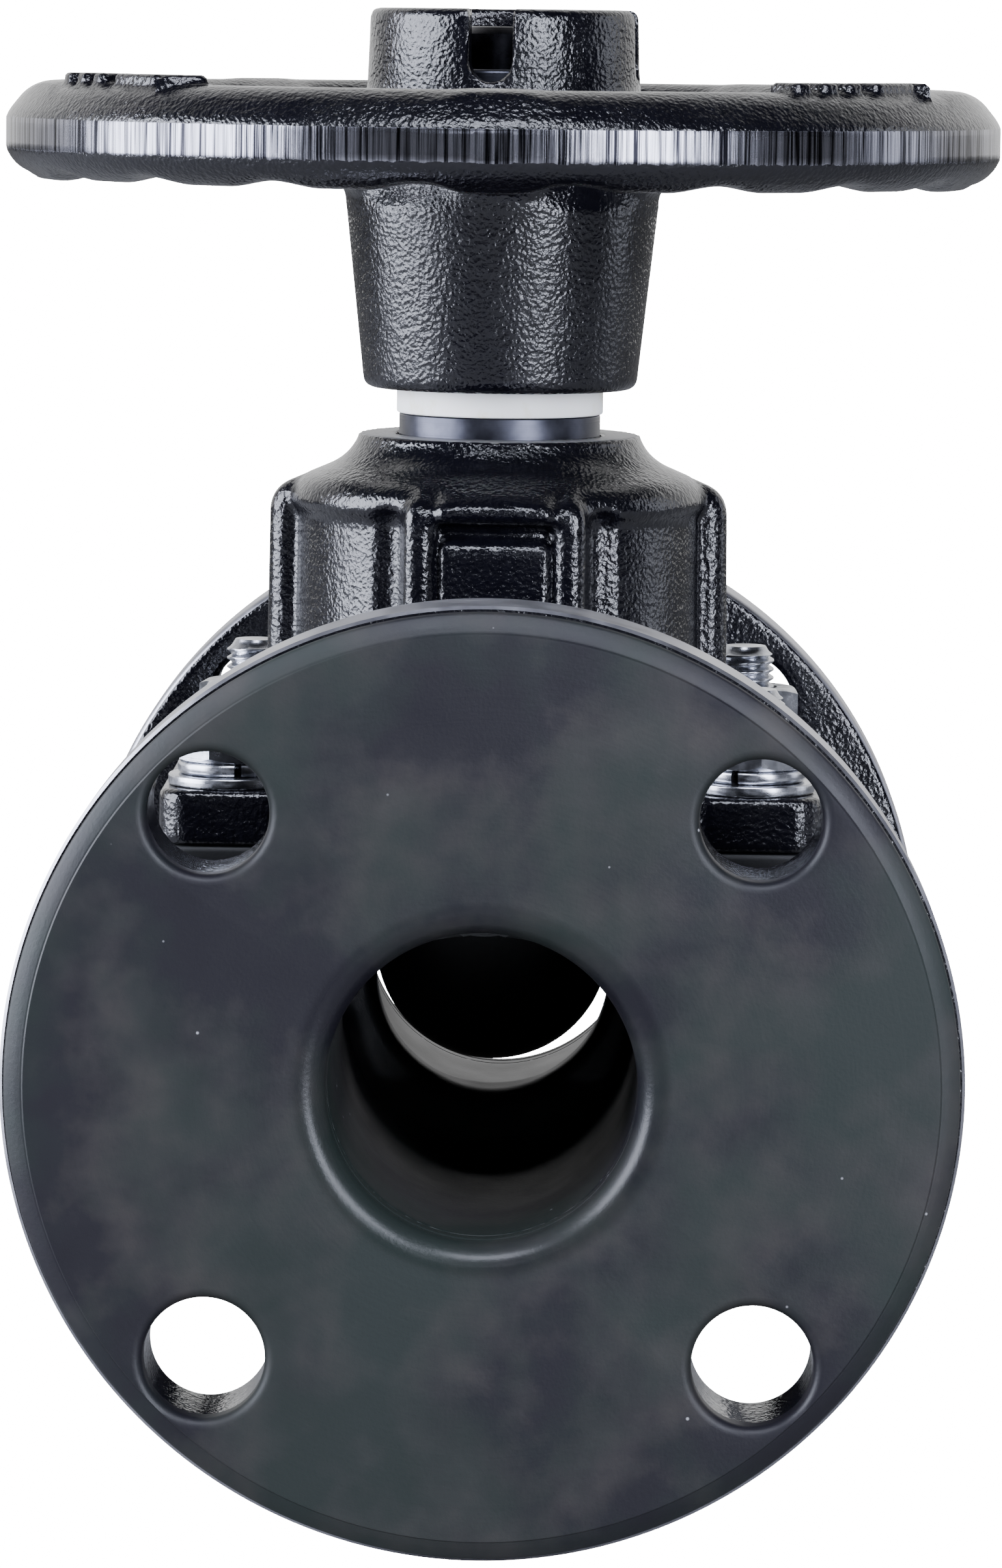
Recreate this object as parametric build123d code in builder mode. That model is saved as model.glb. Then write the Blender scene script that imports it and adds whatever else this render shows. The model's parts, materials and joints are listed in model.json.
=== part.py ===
from build123d import *
import os

# Weir-type diaphragm valve, rubber lined and flanged, DN50, with a rising spindle.
# Millimetres. The origin is the centre of the inlet flange's sealing face, +Y runs
# along the flow and +Z along the spindle. The spindle stands part open, LIFT_AT_REST
# above the position in which the diaphragm seals on the weir.

os.makedirs("parts", exist_ok=True)

# ---------------------------------------------------------------- driving dimensions
FACE_TO_FACE = 190.0
FLANGE_D = 150.0
FLANGE_THICKNESS = 15.9
BOLT_CIRCLE_D = 120.65
BOLT_HOLE_D = 19.0
BOLT_COUNT = 4

BORE_D = 48.5
LINING_FACE = 4.0
LINING_WALL = 3.75
LIP_RADIUS = 4.2
RIM_BEVEL_WIDTH = 3.8
RIM_BEVEL_DEPTH = 2.0
CASTING_WALL = 5.5
BOWL_FOOT_DEPTH = 8.4
BOWL_FOOT_INSET = 1.3
MATCH_TOLERANCE = 0.01

WEIR_ARC_R = 19.5
WEIR_ARC_Z = 5.1
WEIR_TOP_HALF = 6.5
WEIR_FOOT_HALF = 15.0
TROUGH_TOP_HALF = 25.0
CHAMBER_HALF_X = 29.0
CHAMBER_HALF_Y = 33.0
ROOF_START = 75.0
ROOF_Z = 18.5
ROOF_STEP = 1.0
OVERRUN = 10.0

BODY_TOP_Z = 26.8
BODY_PAD_THICKNESS = 9.0
DIAPHRAGM_THICKNESS = 5.0
BONNET_PAD_THICKNESS = 8.9

STUD_X = 42.5
STUD_Y = 37.5
STUD_D = 10.0
STUD_IN_BODY = 14.0
STUD_PROUD = 7.1
STUD_CHAMFER = 1.0
LUG_MARGIN = 10.0
LUG_END_MARGIN = 11.0
LUG_CORNER_R = 5.0
LUG_BOSS_D = 19.0
LUG_BOSS_DEPTH = 17.0
LUG_CLEARANCE = 0.5
NUT_ACROSS_FLATS = 17.0
NUT_HEIGHT = 5.5
WASHER_D = 20.0
WASHER_THICKNESS = 1.8
SPRING_WASHER_D = 17.0
SPRING_WASHER_THICKNESS = 2.3
SPRING_WASHER_GAP = 1.2

BONNET_WALL = 6.0
BONNET_HALF_X = 33.0
BONNET_HALF_Y = 31.0
BONNET_CORNER_R = 14.0
BONNET_SHOULDER_Z = 80.0
BONNET_SKIRT_D = 76.0
BONNET_SKIRT_Z = 86.0
BONNET_NECK_D = 47.0
BONNET_NECK_Z = 93.0
BONNET_TOP_Z = 95.9
FIN_SPAN = 76.8
FIN_THICKNESS = 5.0
PILLAR_X = 26.0
PILLAR_Y = 24.0
PILLAR_D = 15.0
RIB_X = 12.6
RIB_WIDTH = 3.2
RIB_REACH_Y = 33.0
PAD_WIDTH = 16.5
PAD_TOP_Z = 79.0
PAD_REACH_Y = 34.0

SLEEVE_D = 33.6
SLEEVE_TOP_D = 28.0
COLLAR_RISE = 4.2
COLLAR_D = SLEEVE_D + 2 * COLLAR_RISE
COLLAR_THICKNESS = 6.0
SLEEVE_TAIL = 8.0
THRUST_WASHER_THICKNESS = 2.0
BEARING_SHOULDER_Z = 88.0
BORE_RING_THICKNESS = 2.0
BORE_RING_DEPTH = 1.6
RUNNING_GAP = 0.06
END_GAP = 0.05

SEAL_SECTION = 2.6
SOFT_GAP = 0.3

RING_D = 34.5
RING_THICKNESS = 4.2
RING_Z = 99.4

SPINDLE_D = 16.0
SPINDLE_TOP_Z = 163.5
SPINDLE_TONGUE_Z = 38.0
SPINDLE_TONGUE_D = 12.0
SPINDLE_FOOT_Z = 22.0
SPINDLE_CHAMFER = 1.0

LIFT_AT_REST = 5.0

WHEEL_D = 165.0
RIM_HEIGHT = 16.0
RIM_WIDTH = 15.0
RIM_Z = 145.9
RIM_CORNER_R = 6.3
GRIP_COUNT = 20
GRIP_DEPTH = 1.2
GRIP_D = 26.0
HUB_BOTTOM_D = 45.4
HUB_WIDE_D = 52.0
HUB_WIDE_Z = 134.0
HUB_CUP_BASE_Z = 153.0
HUB_CUP_BASE_D = 45.4
HUB_CUP_TOP_D = 44.6
HUB_TOP_Z = 166.4
HUB_CUP_BORE_D = 34.0
CUP_SLOT_WIDTH = 7.2
CUP_SLOT_DEPTH = 12.0
CUP_SLOT_ANGLES = (-95.0, -5.0, 175.0)
CUP_FLOOR_Z = 150.5
SPOKE_COUNT = 5
SPOKE_ANGLE = -90.0
SPOKE_WIDTH = 13.0
SPOKE_HEIGHT = 11.0

KEY_SIZE = 6.0
KEY_LENGTH = 22.0

COMPRESSOR_HALF_Y = 9.0
COMPRESSOR_TOP_Z = 36.0
COMPRESSOR_ARM_HALF = 18.0
COMPRESSOR_BOSS_D = 22.0
PIN_D = 6.0
PIN_RECESS = 1.0
INSERT_D = 8.0
INSERT_HEAD_D = 14.0
INSERT_HEAD_THICKNESS = 2.0
INSERT_DEPTH = 10.0

# ---------------------------------------------------------------- worked-out places
mid_y = FACE_TO_FACE / 2
bore_r = BORE_D / 2
neck_r = bore_r + LINING_WALL + CASTING_WALL
weir_crest_z = WEIR_ARC_Z - WEIR_ARC_R
bonnet_foot_z = BODY_TOP_Z + DIAPHRAGM_THICKNESS
bonnet_pad_z = bonnet_foot_z + BONNET_PAD_THICKNESS
washer_top_z = bonnet_pad_z + WASHER_THICKNESS
nut_foot_z = washer_top_z + SPRING_WASHER_THICKNESS
nut_top_z = nut_foot_z + NUT_HEIGHT
stud_top_z = nut_top_z + STUD_PROUD
stud_foot_z = BODY_TOP_Z - STUD_IN_BODY
pad_half_x = STUD_X + LUG_END_MARGIN
pad_half_y = STUD_Y + LUG_END_MARGIN
upper_washer_z = BEARING_SHOULDER_Z - THRUST_WASHER_THICKNESS
collar_z = upper_washer_z - END_GAP - COLLAR_THICKNESS
lower_washer_z = collar_z - END_GAP - THRUST_WASHER_THICKNESS
bore_ring_z = lower_washer_z - BORE_RING_THICKNESS
bearing_bore_r = COLLAR_D / 2 + RUNNING_GAP
hub_foot_z = RING_Z + RING_THICKNESS
cup_floor_z = CUP_FLOOR_Z
ring_washer_z = cup_floor_z + THRUST_WASHER_THICKNESS
sleeve_top_z = ring_washer_z + 2 * BORE_RING_THICKNESS
diaphragm_low_z = weir_crest_z + LIFT_AT_REST
compressor_low_z = diaphragm_low_z + DIAPHRAGM_THICKNESS
seal_z = (BEARING_SHOULDER_Z + BONNET_TOP_Z - SEAL_SECTION) / 2
spindle_seal_z = collar_z - SLEEVE_TAIL + SEAL_SECTION
key_z = cup_floor_z - KEY_LENGTH
key_y = SLEEVE_TOP_D / 2
slot_wall = (HUB_CUP_BASE_D - HUB_CUP_BORE_D) / 2
spoke_start_r = SLEEVE_TOP_D / 2 + KEY_SIZE
spoke_end_r = WHEEL_D / 2 - RIM_WIDTH / 2
spoke_length = spoke_end_r - spoke_start_r
spoke_mid_r = (spoke_end_r + spoke_start_r) / 2
arc_z = WEIR_ARC_Z + LIFT_AT_REST
compressor_arc_r = WEIR_ARC_R - DIAPHRAGM_THICKNESS
compressor_mid_z = BODY_TOP_Z - DIAPHRAGM_THICKNESS
pouch_half_x = COMPRESSOR_ARM_HALF + DIAPHRAGM_THICKNESS
pin_z = (SPINDLE_FOOT_Z + COMPRESSOR_TOP_Z) / 2
insert_head_z = compressor_low_z - INSERT_HEAD_THICKNESS
spindle_axis = Plane(origin=(0, mid_y, 0))
stud_places = [(x, y) for x in (-STUD_X, STUD_X) for y in (-STUD_Y, STUD_Y)]


def spindle_plane(height):
    """Level plane centred on the spindle axis at this height."""
    return spindle_axis.offset(height)


def flow_plane(distance):
    """Upright plane across the bore, this far from the inlet face, facing the outlet."""
    return Plane(origin=(0, distance, 0), x_dir=(-1, 0, 0), z_dir=(0, 1, 0))


def bore_form(growth):
    """The flow passage and its chamber over the weir, grown by this much all round.

    It runs past both end faces and above the joint with the bonnet, so that it cuts cleanly.
    """
    crest_arc_r = WEIR_ARC_R + growth
    weir_top = WEIR_TOP_HALF - growth
    weir_foot = WEIR_FOOT_HALF - growth
    above_joint_z = BODY_TOP_Z + OVERRUN
    roof_end = CHAMBER_HALF_Y - LINING_WALL
    with BuildPart() as form:
        with BuildSketch(flow_plane(-OVERRUN)):
            Circle(bore_r + growth)
        extrude(amount=FACE_TO_FACE + 2 * OVERRUN)
        for side in (-1, 1):
            with BuildSketch(Plane.YZ):
                with BuildLine():
                    Polyline(
                        (mid_y + side * ROOF_START, bore_r + growth),
                        (mid_y + side * roof_end, ROOF_Z + growth),
                        (mid_y + side * roof_end, above_joint_z),
                        (mid_y + side * ROOF_START, above_joint_z),
                        close=True,
                    )
                make_face()
            extrude(amount=FLANGE_D / 2, both=True, mode=Mode.SUBTRACT)
        with BuildSketch(Plane.XY):
            with Locations((0, mid_y)):
                Rectangle(FLANGE_D, 2 * roof_end)
        extrude(amount=above_joint_z, mode=Mode.SUBTRACT)
        with BuildSketch(spindle_plane(0)):
            Ellipse(bore_r + growth, CHAMBER_HALF_Y + growth)
        with BuildSketch(spindle_plane(above_joint_z)):
            Ellipse(CHAMBER_HALF_X + growth, CHAMBER_HALF_Y + growth)
        loft()
        with BuildSketch(Plane.YZ):
            with BuildLine():
                Polyline(
                    (mid_y - weir_foot, -neck_r),
                    (mid_y - weir_top, weir_crest_z),
                    (mid_y - weir_top, above_joint_z + OVERRUN),
                    (mid_y + weir_top, above_joint_z + OVERRUN),
                    (mid_y + weir_top, weir_crest_z),
                    (mid_y + weir_foot, -neck_r),
                    close=True,
                )
            make_face()
        extrude(amount=CHAMBER_HALF_X * 2, both=True, mode=Mode.SUBTRACT)
        with BuildSketch(flow_plane(mid_y)):
            add(saddle_face(crest_arc_r, WEIR_ARC_Z, TROUGH_TOP_HALF + growth, above_joint_z))
        extrude(amount=weir_top + LINING_WALL / 2, both=True)
    return form.part


def saddle_face(arc_r, arc_centre_z, top_half, top_z):
    """U-shaped section across the flow: a half-round sole whose sides spread to the top."""
    with BuildSketch() as section:
        with BuildLine():
            sole = CenterArc((0, arc_centre_z), arc_r, 180, 180)
            Polyline(sole @ 1, (top_half, top_z), (-top_half, top_z), sole @ 0)
        make_face()
    return section.sketch


def pad_outline():
    """Plan of the flange that joins body and bonnet, with a lug round each stud."""
    with BuildSketch() as outline:
        RectangleRounded(2 * pad_half_x, 2 * pad_half_y, LUG_CORNER_R)
        with Locations((0, pad_half_y + LUG_MARGIN), (0, -pad_half_y - LUG_MARGIN)):
            RectangleRounded(2 * (STUD_X - LUG_MARGIN), 3 * LUG_MARGIN, LUG_MARGIN / 2, mode=Mode.SUBTRACT)
    return outline.sketch


# ---------------------------------------------------------------- body
with BuildPart() as body_casting:
    with BuildSketch(flow_plane(LINING_FACE)):
        Circle(FLANGE_D / 2)
    extrude(amount=FLANGE_THICKNESS)
    with BuildSketch(flow_plane(FACE_TO_FACE - LINING_FACE - FLANGE_THICKNESS)):
        Circle(FLANGE_D / 2)
    extrude(amount=FLANGE_THICKNESS)
    with BuildSketch(flow_plane(LINING_FACE)):
        Circle(neck_r)
    extrude(amount=FACE_TO_FACE - 2 * LINING_FACE)
    with BuildSketch(Plane.YZ):
        with BuildLine():
            Polyline(
                (mid_y - ROOF_START, neck_r),
                (mid_y - pad_half_y - ROOF_STEP, BODY_TOP_Z),
                (mid_y + pad_half_y + ROOF_STEP, BODY_TOP_Z),
                (mid_y + ROOF_START, neck_r),
                close=True,
            )
        make_face()
    extrude(amount=neck_r, both=True, mode=Mode.SUBTRACT)
    with BuildSketch(spindle_plane(-BOWL_FOOT_DEPTH)):
        Ellipse(neck_r - BOWL_FOOT_INSET, CHAMBER_HALF_Y + LINING_WALL)
    with BuildSketch(spindle_plane(BODY_TOP_Z)):
        Ellipse(CHAMBER_HALF_X + LINING_WALL + CASTING_WALL, CHAMBER_HALF_Y + LINING_WALL + CASTING_WALL)
    loft()
    with BuildSketch(spindle_plane(BODY_TOP_Z)):
        add(pad_outline())
    extrude(amount=-BODY_PAD_THICKNESS)
    with BuildSketch(spindle_plane(BODY_TOP_Z)):
        with Locations(*stud_places):
            Circle(LUG_BOSS_D / 2)
    extrude(amount=-LUG_BOSS_DEPTH)
    add(bore_form(LINING_WALL), mode=Mode.SUBTRACT)
    with BuildSketch(flow_plane(0)):
        with PolarLocations(BOLT_CIRCLE_D / 2, BOLT_COUNT, 180 / BOLT_COUNT):
            Circle(BOLT_HOLE_D / 2)
    extrude(amount=LINING_FACE + FLANGE_THICKNESS, mode=Mode.SUBTRACT)
    with BuildSketch(flow_plane(FACE_TO_FACE)):
        with PolarLocations(BOLT_CIRCLE_D / 2, BOLT_COUNT, 180 / BOLT_COUNT):
            Circle(BOLT_HOLE_D / 2)
    extrude(amount=-LINING_FACE - FLANGE_THICKNESS, mode=Mode.SUBTRACT)
    with BuildSketch(spindle_plane(BODY_TOP_Z)):
        with Locations(*stud_places):
            Circle(STUD_D / 2)
    extrude(amount=-STUD_IN_BODY, mode=Mode.SUBTRACT)
body_casting.part.label = "body_casting"

with BuildPart() as inlet_lip:
    with BuildSketch(Plane.YZ):
        with BuildLine():
            flare = CenterArc((LIP_RADIUS, bore_r + LIP_RADIUS), LIP_RADIUS, 180, 90)
            Polyline(flare @ 1, (LIP_RADIUS, 0), (0, 0), flare @ 0)
        make_face()
    revolve(axis=Axis.Y)

with BuildPart() as body_lining:
    add(bore_form(LINING_WALL))
    with BuildSketch(spindle_plane(BODY_TOP_Z)):
        Rectangle(FLANGE_D, FACE_TO_FACE)
    extrude(amount=-FLANGE_D, mode=Mode.INTERSECT)
    for face_y, way in ((0, 1), (FACE_TO_FACE, -1)):
        with BuildSketch(flow_plane(face_y)):
            Circle(FLANGE_D / 2)
        extrude(amount=way * LINING_FACE)
    rims = body_lining.edges().filter_by(GeomType.CIRCLE)
    rims = rims.filter_by(lambda e: abs(e.radius - FLANGE_D / 2) < MATCH_TOLERANCE)
    end_faces = body_lining.faces().filter_by(lambda f: abs(abs(f.center().Y - mid_y) - mid_y) < MATCH_TOLERANCE)
    for rim in rims.filter_by(lambda e: abs(abs(e.center().Y - mid_y) - mid_y) < MATCH_TOLERANCE):
        face = end_faces.sort_by_distance(rim.center())[0]
        chamfer(rim, length=RIM_BEVEL_WIDTH, length2=RIM_BEVEL_DEPTH, reference=face)
    add(bore_form(0), mode=Mode.SUBTRACT)
    add(inlet_lip.part, mode=Mode.SUBTRACT)
    add(mirror(inlet_lip.part, about=flow_plane(mid_y), mode=Mode.PRIVATE), mode=Mode.SUBTRACT)
    for face_y, way in ((0, 1), (FACE_TO_FACE, -1)):
        with BuildSketch(flow_plane(face_y)):
            with PolarLocations(BOLT_CIRCLE_D / 2, BOLT_COUNT, 180 / BOLT_COUNT):
                Circle(BOLT_HOLE_D / 2)
        extrude(amount=way * LINING_FACE, mode=Mode.SUBTRACT)
body_lining.part.label = "body_lining"

# ---------------------------------------------------------------- diaphragm
with BuildPart() as diaphragm:
    with BuildSketch(spindle_plane(BODY_TOP_Z)):
        add(pad_outline())
    extrude(amount=DIAPHRAGM_THICKNESS)
    with BuildSketch(flow_plane(mid_y)):
        add(saddle_face(WEIR_ARC_R, arc_z, pouch_half_x, bonnet_foot_z))
    extrude(amount=COMPRESSOR_HALF_Y + DIAPHRAGM_THICKNESS, both=True)
    with BuildSketch(flow_plane(mid_y)):
        add(saddle_face(compressor_arc_r + SOFT_GAP, arc_z, COMPRESSOR_ARM_HALF + SOFT_GAP, bonnet_foot_z))
    extrude(amount=COMPRESSOR_HALF_Y + SOFT_GAP, both=True, mode=Mode.SUBTRACT)
    with BuildSketch(spindle_plane(insert_head_z - SOFT_GAP)):
        Circle(INSERT_HEAD_D / 2 + SOFT_GAP)
    extrude(amount=INSERT_HEAD_THICKNESS + 2 * SOFT_GAP, mode=Mode.SUBTRACT)
    with BuildSketch(spindle_plane(compressor_mid_z - SOFT_GAP)):
        Circle(COMPRESSOR_BOSS_D / 2 + SOFT_GAP)
    extrude(amount=bonnet_foot_z - compressor_mid_z + SOFT_GAP, mode=Mode.SUBTRACT)
    with BuildSketch(spindle_plane(BODY_TOP_Z)):
        with Locations(*stud_places):
            Circle(STUD_D / 2 + LUG_CLEARANCE)
    extrude(amount=DIAPHRAGM_THICKNESS, mode=Mode.SUBTRACT)
diaphragm.part.label = "diaphragm"

# ---------------------------------------------------------------- bonnet
with BuildPart() as bonnet:
    with BuildSketch(spindle_plane(bonnet_foot_z)):
        add(pad_outline())
    extrude(amount=BONNET_PAD_THICKNESS)
    with BuildSketch(spindle_plane(bonnet_foot_z)):
        RectangleRounded(2 * BONNET_HALF_X, 2 * BONNET_HALF_Y, BONNET_CORNER_R)
        with GridLocations(2 * PILLAR_X, 2 * PILLAR_Y, 2, 2):
            Circle(PILLAR_D / 2)
        with GridLocations(2 * RIB_X, 0, 2, 1):
            Rectangle(RIB_WIDTH, 2 * RIB_REACH_Y)
    extrude(amount=BONNET_SHOULDER_Z - bonnet_foot_z)
    with BuildSketch(spindle_plane(bonnet_foot_z)):
        Rectangle(PAD_WIDTH, 2 * PAD_REACH_Y)
    extrude(amount=PAD_TOP_Z - bonnet_foot_z)
    with BuildSketch(spindle_plane(bonnet_foot_z)):
        Rectangle(FIN_SPAN, FIN_THICKNESS)
    extrude(amount=BONNET_SKIRT_Z - bonnet_foot_z)
    with BuildSketch(Plane(origin=(0, mid_y, 0), x_dir=(1, 0, 0), z_dir=(0, -1, 0))):
        with BuildLine():
            Polyline(
                (0, BONNET_SHOULDER_Z),
                (BONNET_SKIRT_D / 2, BONNET_SHOULDER_Z),
                (BONNET_SKIRT_D / 2, BONNET_SKIRT_Z),
                (BONNET_NECK_D / 2, BONNET_NECK_Z),
                (BONNET_NECK_D / 2, BONNET_TOP_Z),
                (0, BONNET_TOP_Z),
                close=True,
            )
        make_face()
    revolve(axis=Axis((0, mid_y, 0), (0, 0, 1)))
    with BuildSketch(spindle_plane(bonnet_foot_z)):
        RectangleRounded(
            2 * (BONNET_HALF_X - BONNET_WALL), 2 * (BONNET_HALF_Y - BONNET_WALL), BONNET_CORNER_R - BONNET_WALL
        )
    extrude(amount=bore_ring_z - 2 * BORE_RING_THICKNESS - bonnet_foot_z, mode=Mode.SUBTRACT)
    with BuildSketch(spindle_plane(BEARING_SHOULDER_Z)):
        Circle(bearing_bore_r)
    extrude(amount=bonnet_foot_z - BEARING_SHOULDER_Z, mode=Mode.SUBTRACT)
    with BuildSketch(spindle_plane(bore_ring_z)):
        Circle(bearing_bore_r + BORE_RING_DEPTH)
    extrude(amount=BORE_RING_THICKNESS, mode=Mode.SUBTRACT)
    with BuildSketch(spindle_plane(BEARING_SHOULDER_Z)):
        Circle(SLEEVE_D / 2 + RUNNING_GAP)
    extrude(amount=BONNET_TOP_Z - BEARING_SHOULDER_Z, mode=Mode.SUBTRACT)
    with BuildSketch(spindle_plane(seal_z)):
        Circle(SLEEVE_D / 2 + RUNNING_GAP + SEAL_SECTION)
    extrude(amount=SEAL_SECTION, mode=Mode.SUBTRACT)
    with BuildSketch(spindle_plane(bonnet_foot_z)):
        with Locations(*stud_places):
            Circle(STUD_D / 2 + LUG_CLEARANCE)
    extrude(amount=BONNET_PAD_THICKNESS, mode=Mode.SUBTRACT)
bonnet.part.label = "bonnet"

# ---------------------------------------------------------------- bonnet fasteners
with BuildPart() as bonnet_studs:
    with BuildSketch(spindle_plane(stud_foot_z)):
        with Locations(*stud_places):
            Circle(STUD_D / 2)
    extrude(amount=stud_top_z - stud_foot_z)
    chamfer(bonnet_studs.faces().group_by(Axis.Z)[-1].edges(), STUD_CHAMFER)
bonnet_studs.part.label = "bonnet_studs"

with BuildPart() as bonnet_washers:
    with BuildSketch(spindle_plane(bonnet_pad_z)):
        with Locations(*stud_places):
            Circle(WASHER_D / 2)
            Circle(STUD_D / 2, mode=Mode.SUBTRACT)
    extrude(amount=WASHER_THICKNESS)
bonnet_washers.part.label = "bonnet_washers"

with BuildPart() as bonnet_spring_washers:
    with BuildSketch(spindle_plane(washer_top_z)):
        with Locations(*stud_places):
            Circle(SPRING_WASHER_D / 2)
            Circle(STUD_D / 2, mode=Mode.SUBTRACT)
        with Locations(*[(x, y - SPRING_WASHER_D / 2) for x, y in stud_places]):
            Rectangle(SPRING_WASHER_GAP, SPRING_WASHER_D, mode=Mode.SUBTRACT)
    extrude(amount=SPRING_WASHER_THICKNESS)
bonnet_spring_washers.part.label = "bonnet_spring_washers"

with BuildPart() as bonnet_nuts:
    with BuildSketch(spindle_plane(nut_foot_z)):
        with Locations(*stud_places):
            RegularPolygon(NUT_ACROSS_FLATS / 2, 6, major_radius=False)
            Circle(STUD_D / 2, mode=Mode.SUBTRACT)
    extrude(amount=NUT_HEIGHT)
bonnet_nuts.part.label = "bonnet_nuts"


# ---------------------------------------------------------------- bearing of the drive sleeve
def flat_ring(height, outer_r, inner_r, thickness):
    """A plain ring on the spindle axis, from this height up."""
    with BuildPart() as ring:
        with BuildSketch(spindle_plane(height)):
            Circle(outer_r)
            Circle(inner_r, mode=Mode.SUBTRACT)
        extrude(amount=thickness)
    return ring


def gapped_ring(height, outer_r, inner_r, thickness, gap):
    """A retaining ring on the spindle axis, with an open gap in its +Y side."""
    with BuildPart() as ring:
        with BuildSketch(spindle_plane(height)):
            Circle(outer_r)
            Circle(inner_r, mode=Mode.SUBTRACT)
            with Locations((0, outer_r)):
                Rectangle(gap, outer_r, mode=Mode.SUBTRACT)
        extrude(amount=thickness)
    return ring


sleeve_hole_r = SLEEVE_D / 2 + RUNNING_GAP

upper_thrust_washer = flat_ring(upper_washer_z, bearing_bore_r, sleeve_hole_r, THRUST_WASHER_THICKNESS)
upper_thrust_washer.part.label = "upper_thrust_washer"

lower_thrust_washer = flat_ring(lower_washer_z, bearing_bore_r, sleeve_hole_r, THRUST_WASHER_THICKNESS)
lower_thrust_washer.part.label = "lower_thrust_washer"

bore_retaining_ring = gapped_ring(
    bore_ring_z, bearing_bore_r + BORE_RING_DEPTH, bearing_bore_r - BORE_RING_DEPTH, BORE_RING_THICKNESS, KEY_SIZE
)
bore_retaining_ring.part.label = "bore_retaining_ring"

with BuildPart() as sleeve_seal:
    with BuildSketch(Plane(origin=(0, mid_y, 0), x_dir=(1, 0, 0), z_dir=(0, -1, 0))) as section:
        with Locations((sleeve_hole_r + SEAL_SECTION / 2, seal_z + SEAL_SECTION / 2)):
            Circle(SEAL_SECTION / 2)
    revolve(axis=Axis((0, mid_y, 0), (0, 0, 1)))
sleeve_seal.part.label = "sleeve_seal"

# ---------------------------------------------------------------- drive sleeve, turns with the handwheel
with BuildPart() as drive_sleeve:
    with BuildSketch(spindle_plane(collar_z - SLEEVE_TAIL)):
        Circle(SLEEVE_D / 2)
    extrude(amount=RING_Z - collar_z + SLEEVE_TAIL)
    with BuildSketch(spindle_plane(collar_z)):
        Circle(COLLAR_D / 2)
    extrude(amount=COLLAR_THICKNESS)
    with BuildSketch(spindle_plane(RING_Z)):
        Circle(SLEEVE_TOP_D / 2)
    extrude(amount=sleeve_top_z - RING_Z)
    with BuildSketch(spindle_plane(ring_washer_z)):
        Circle(SLEEVE_TOP_D / 2)
        Circle(SLEEVE_TOP_D / 2 - BORE_RING_DEPTH, mode=Mode.SUBTRACT)
    extrude(amount=BORE_RING_THICKNESS, mode=Mode.SUBTRACT)
    with BuildSketch(spindle_plane(collar_z - SLEEVE_TAIL)):
        Circle(SPINDLE_D / 2 + RUNNING_GAP)
    extrude(amount=sleeve_top_z - collar_z + SLEEVE_TAIL, mode=Mode.SUBTRACT)
    with BuildSketch(spindle_plane(spindle_seal_z)):
        Circle(SPINDLE_D / 2 + RUNNING_GAP + SEAL_SECTION)
    extrude(amount=SEAL_SECTION, mode=Mode.SUBTRACT)
    with BuildSketch(spindle_plane(key_z)):
        with Locations((0, key_y)):
            Rectangle(KEY_SIZE, KEY_SIZE)
    extrude(amount=cup_floor_z - key_z, mode=Mode.SUBTRACT)
drive_sleeve.part.label = "drive_sleeve"

with BuildPart() as spindle_seal:
    with BuildSketch(Plane(origin=(0, mid_y, 0), x_dir=(1, 0, 0), z_dir=(0, -1, 0))) as section:
        with Locations((SPINDLE_D / 2 + RUNNING_GAP + SEAL_SECTION / 2, spindle_seal_z + SEAL_SECTION / 2)):
            Circle(SEAL_SECTION / 2)
    revolve(axis=Axis((0, mid_y, 0), (0, 0, 1)))
spindle_seal.part.label = "spindle_seal"

hub_ring = flat_ring(RING_Z, RING_D / 2, SLEEVE_TOP_D / 2, RING_THICKNESS)
hub_ring.part.label = "hub_ring"

with BuildPart() as drive_key:
    with BuildSketch(spindle_plane(key_z)):
        with Locations((0, key_y)):
            Rectangle(KEY_SIZE, KEY_SIZE)
    extrude(amount=KEY_LENGTH)
drive_key.part.label = "drive_key"

wheel_washer = flat_ring(cup_floor_z, HUB_CUP_BORE_D / 2 - LUG_CLEARANCE, SLEEVE_TOP_D / 2, THRUST_WASHER_THICKNESS)
wheel_washer.part.label = "wheel_washer"

wheel_retaining_ring = gapped_ring(
    ring_washer_z,
    SLEEVE_TOP_D / 2 + BORE_RING_DEPTH,
    SLEEVE_TOP_D / 2 - BORE_RING_DEPTH,
    BORE_RING_THICKNESS,
    KEY_SIZE,
)
wheel_retaining_ring.part.label = "wheel_retaining_ring"

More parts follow.
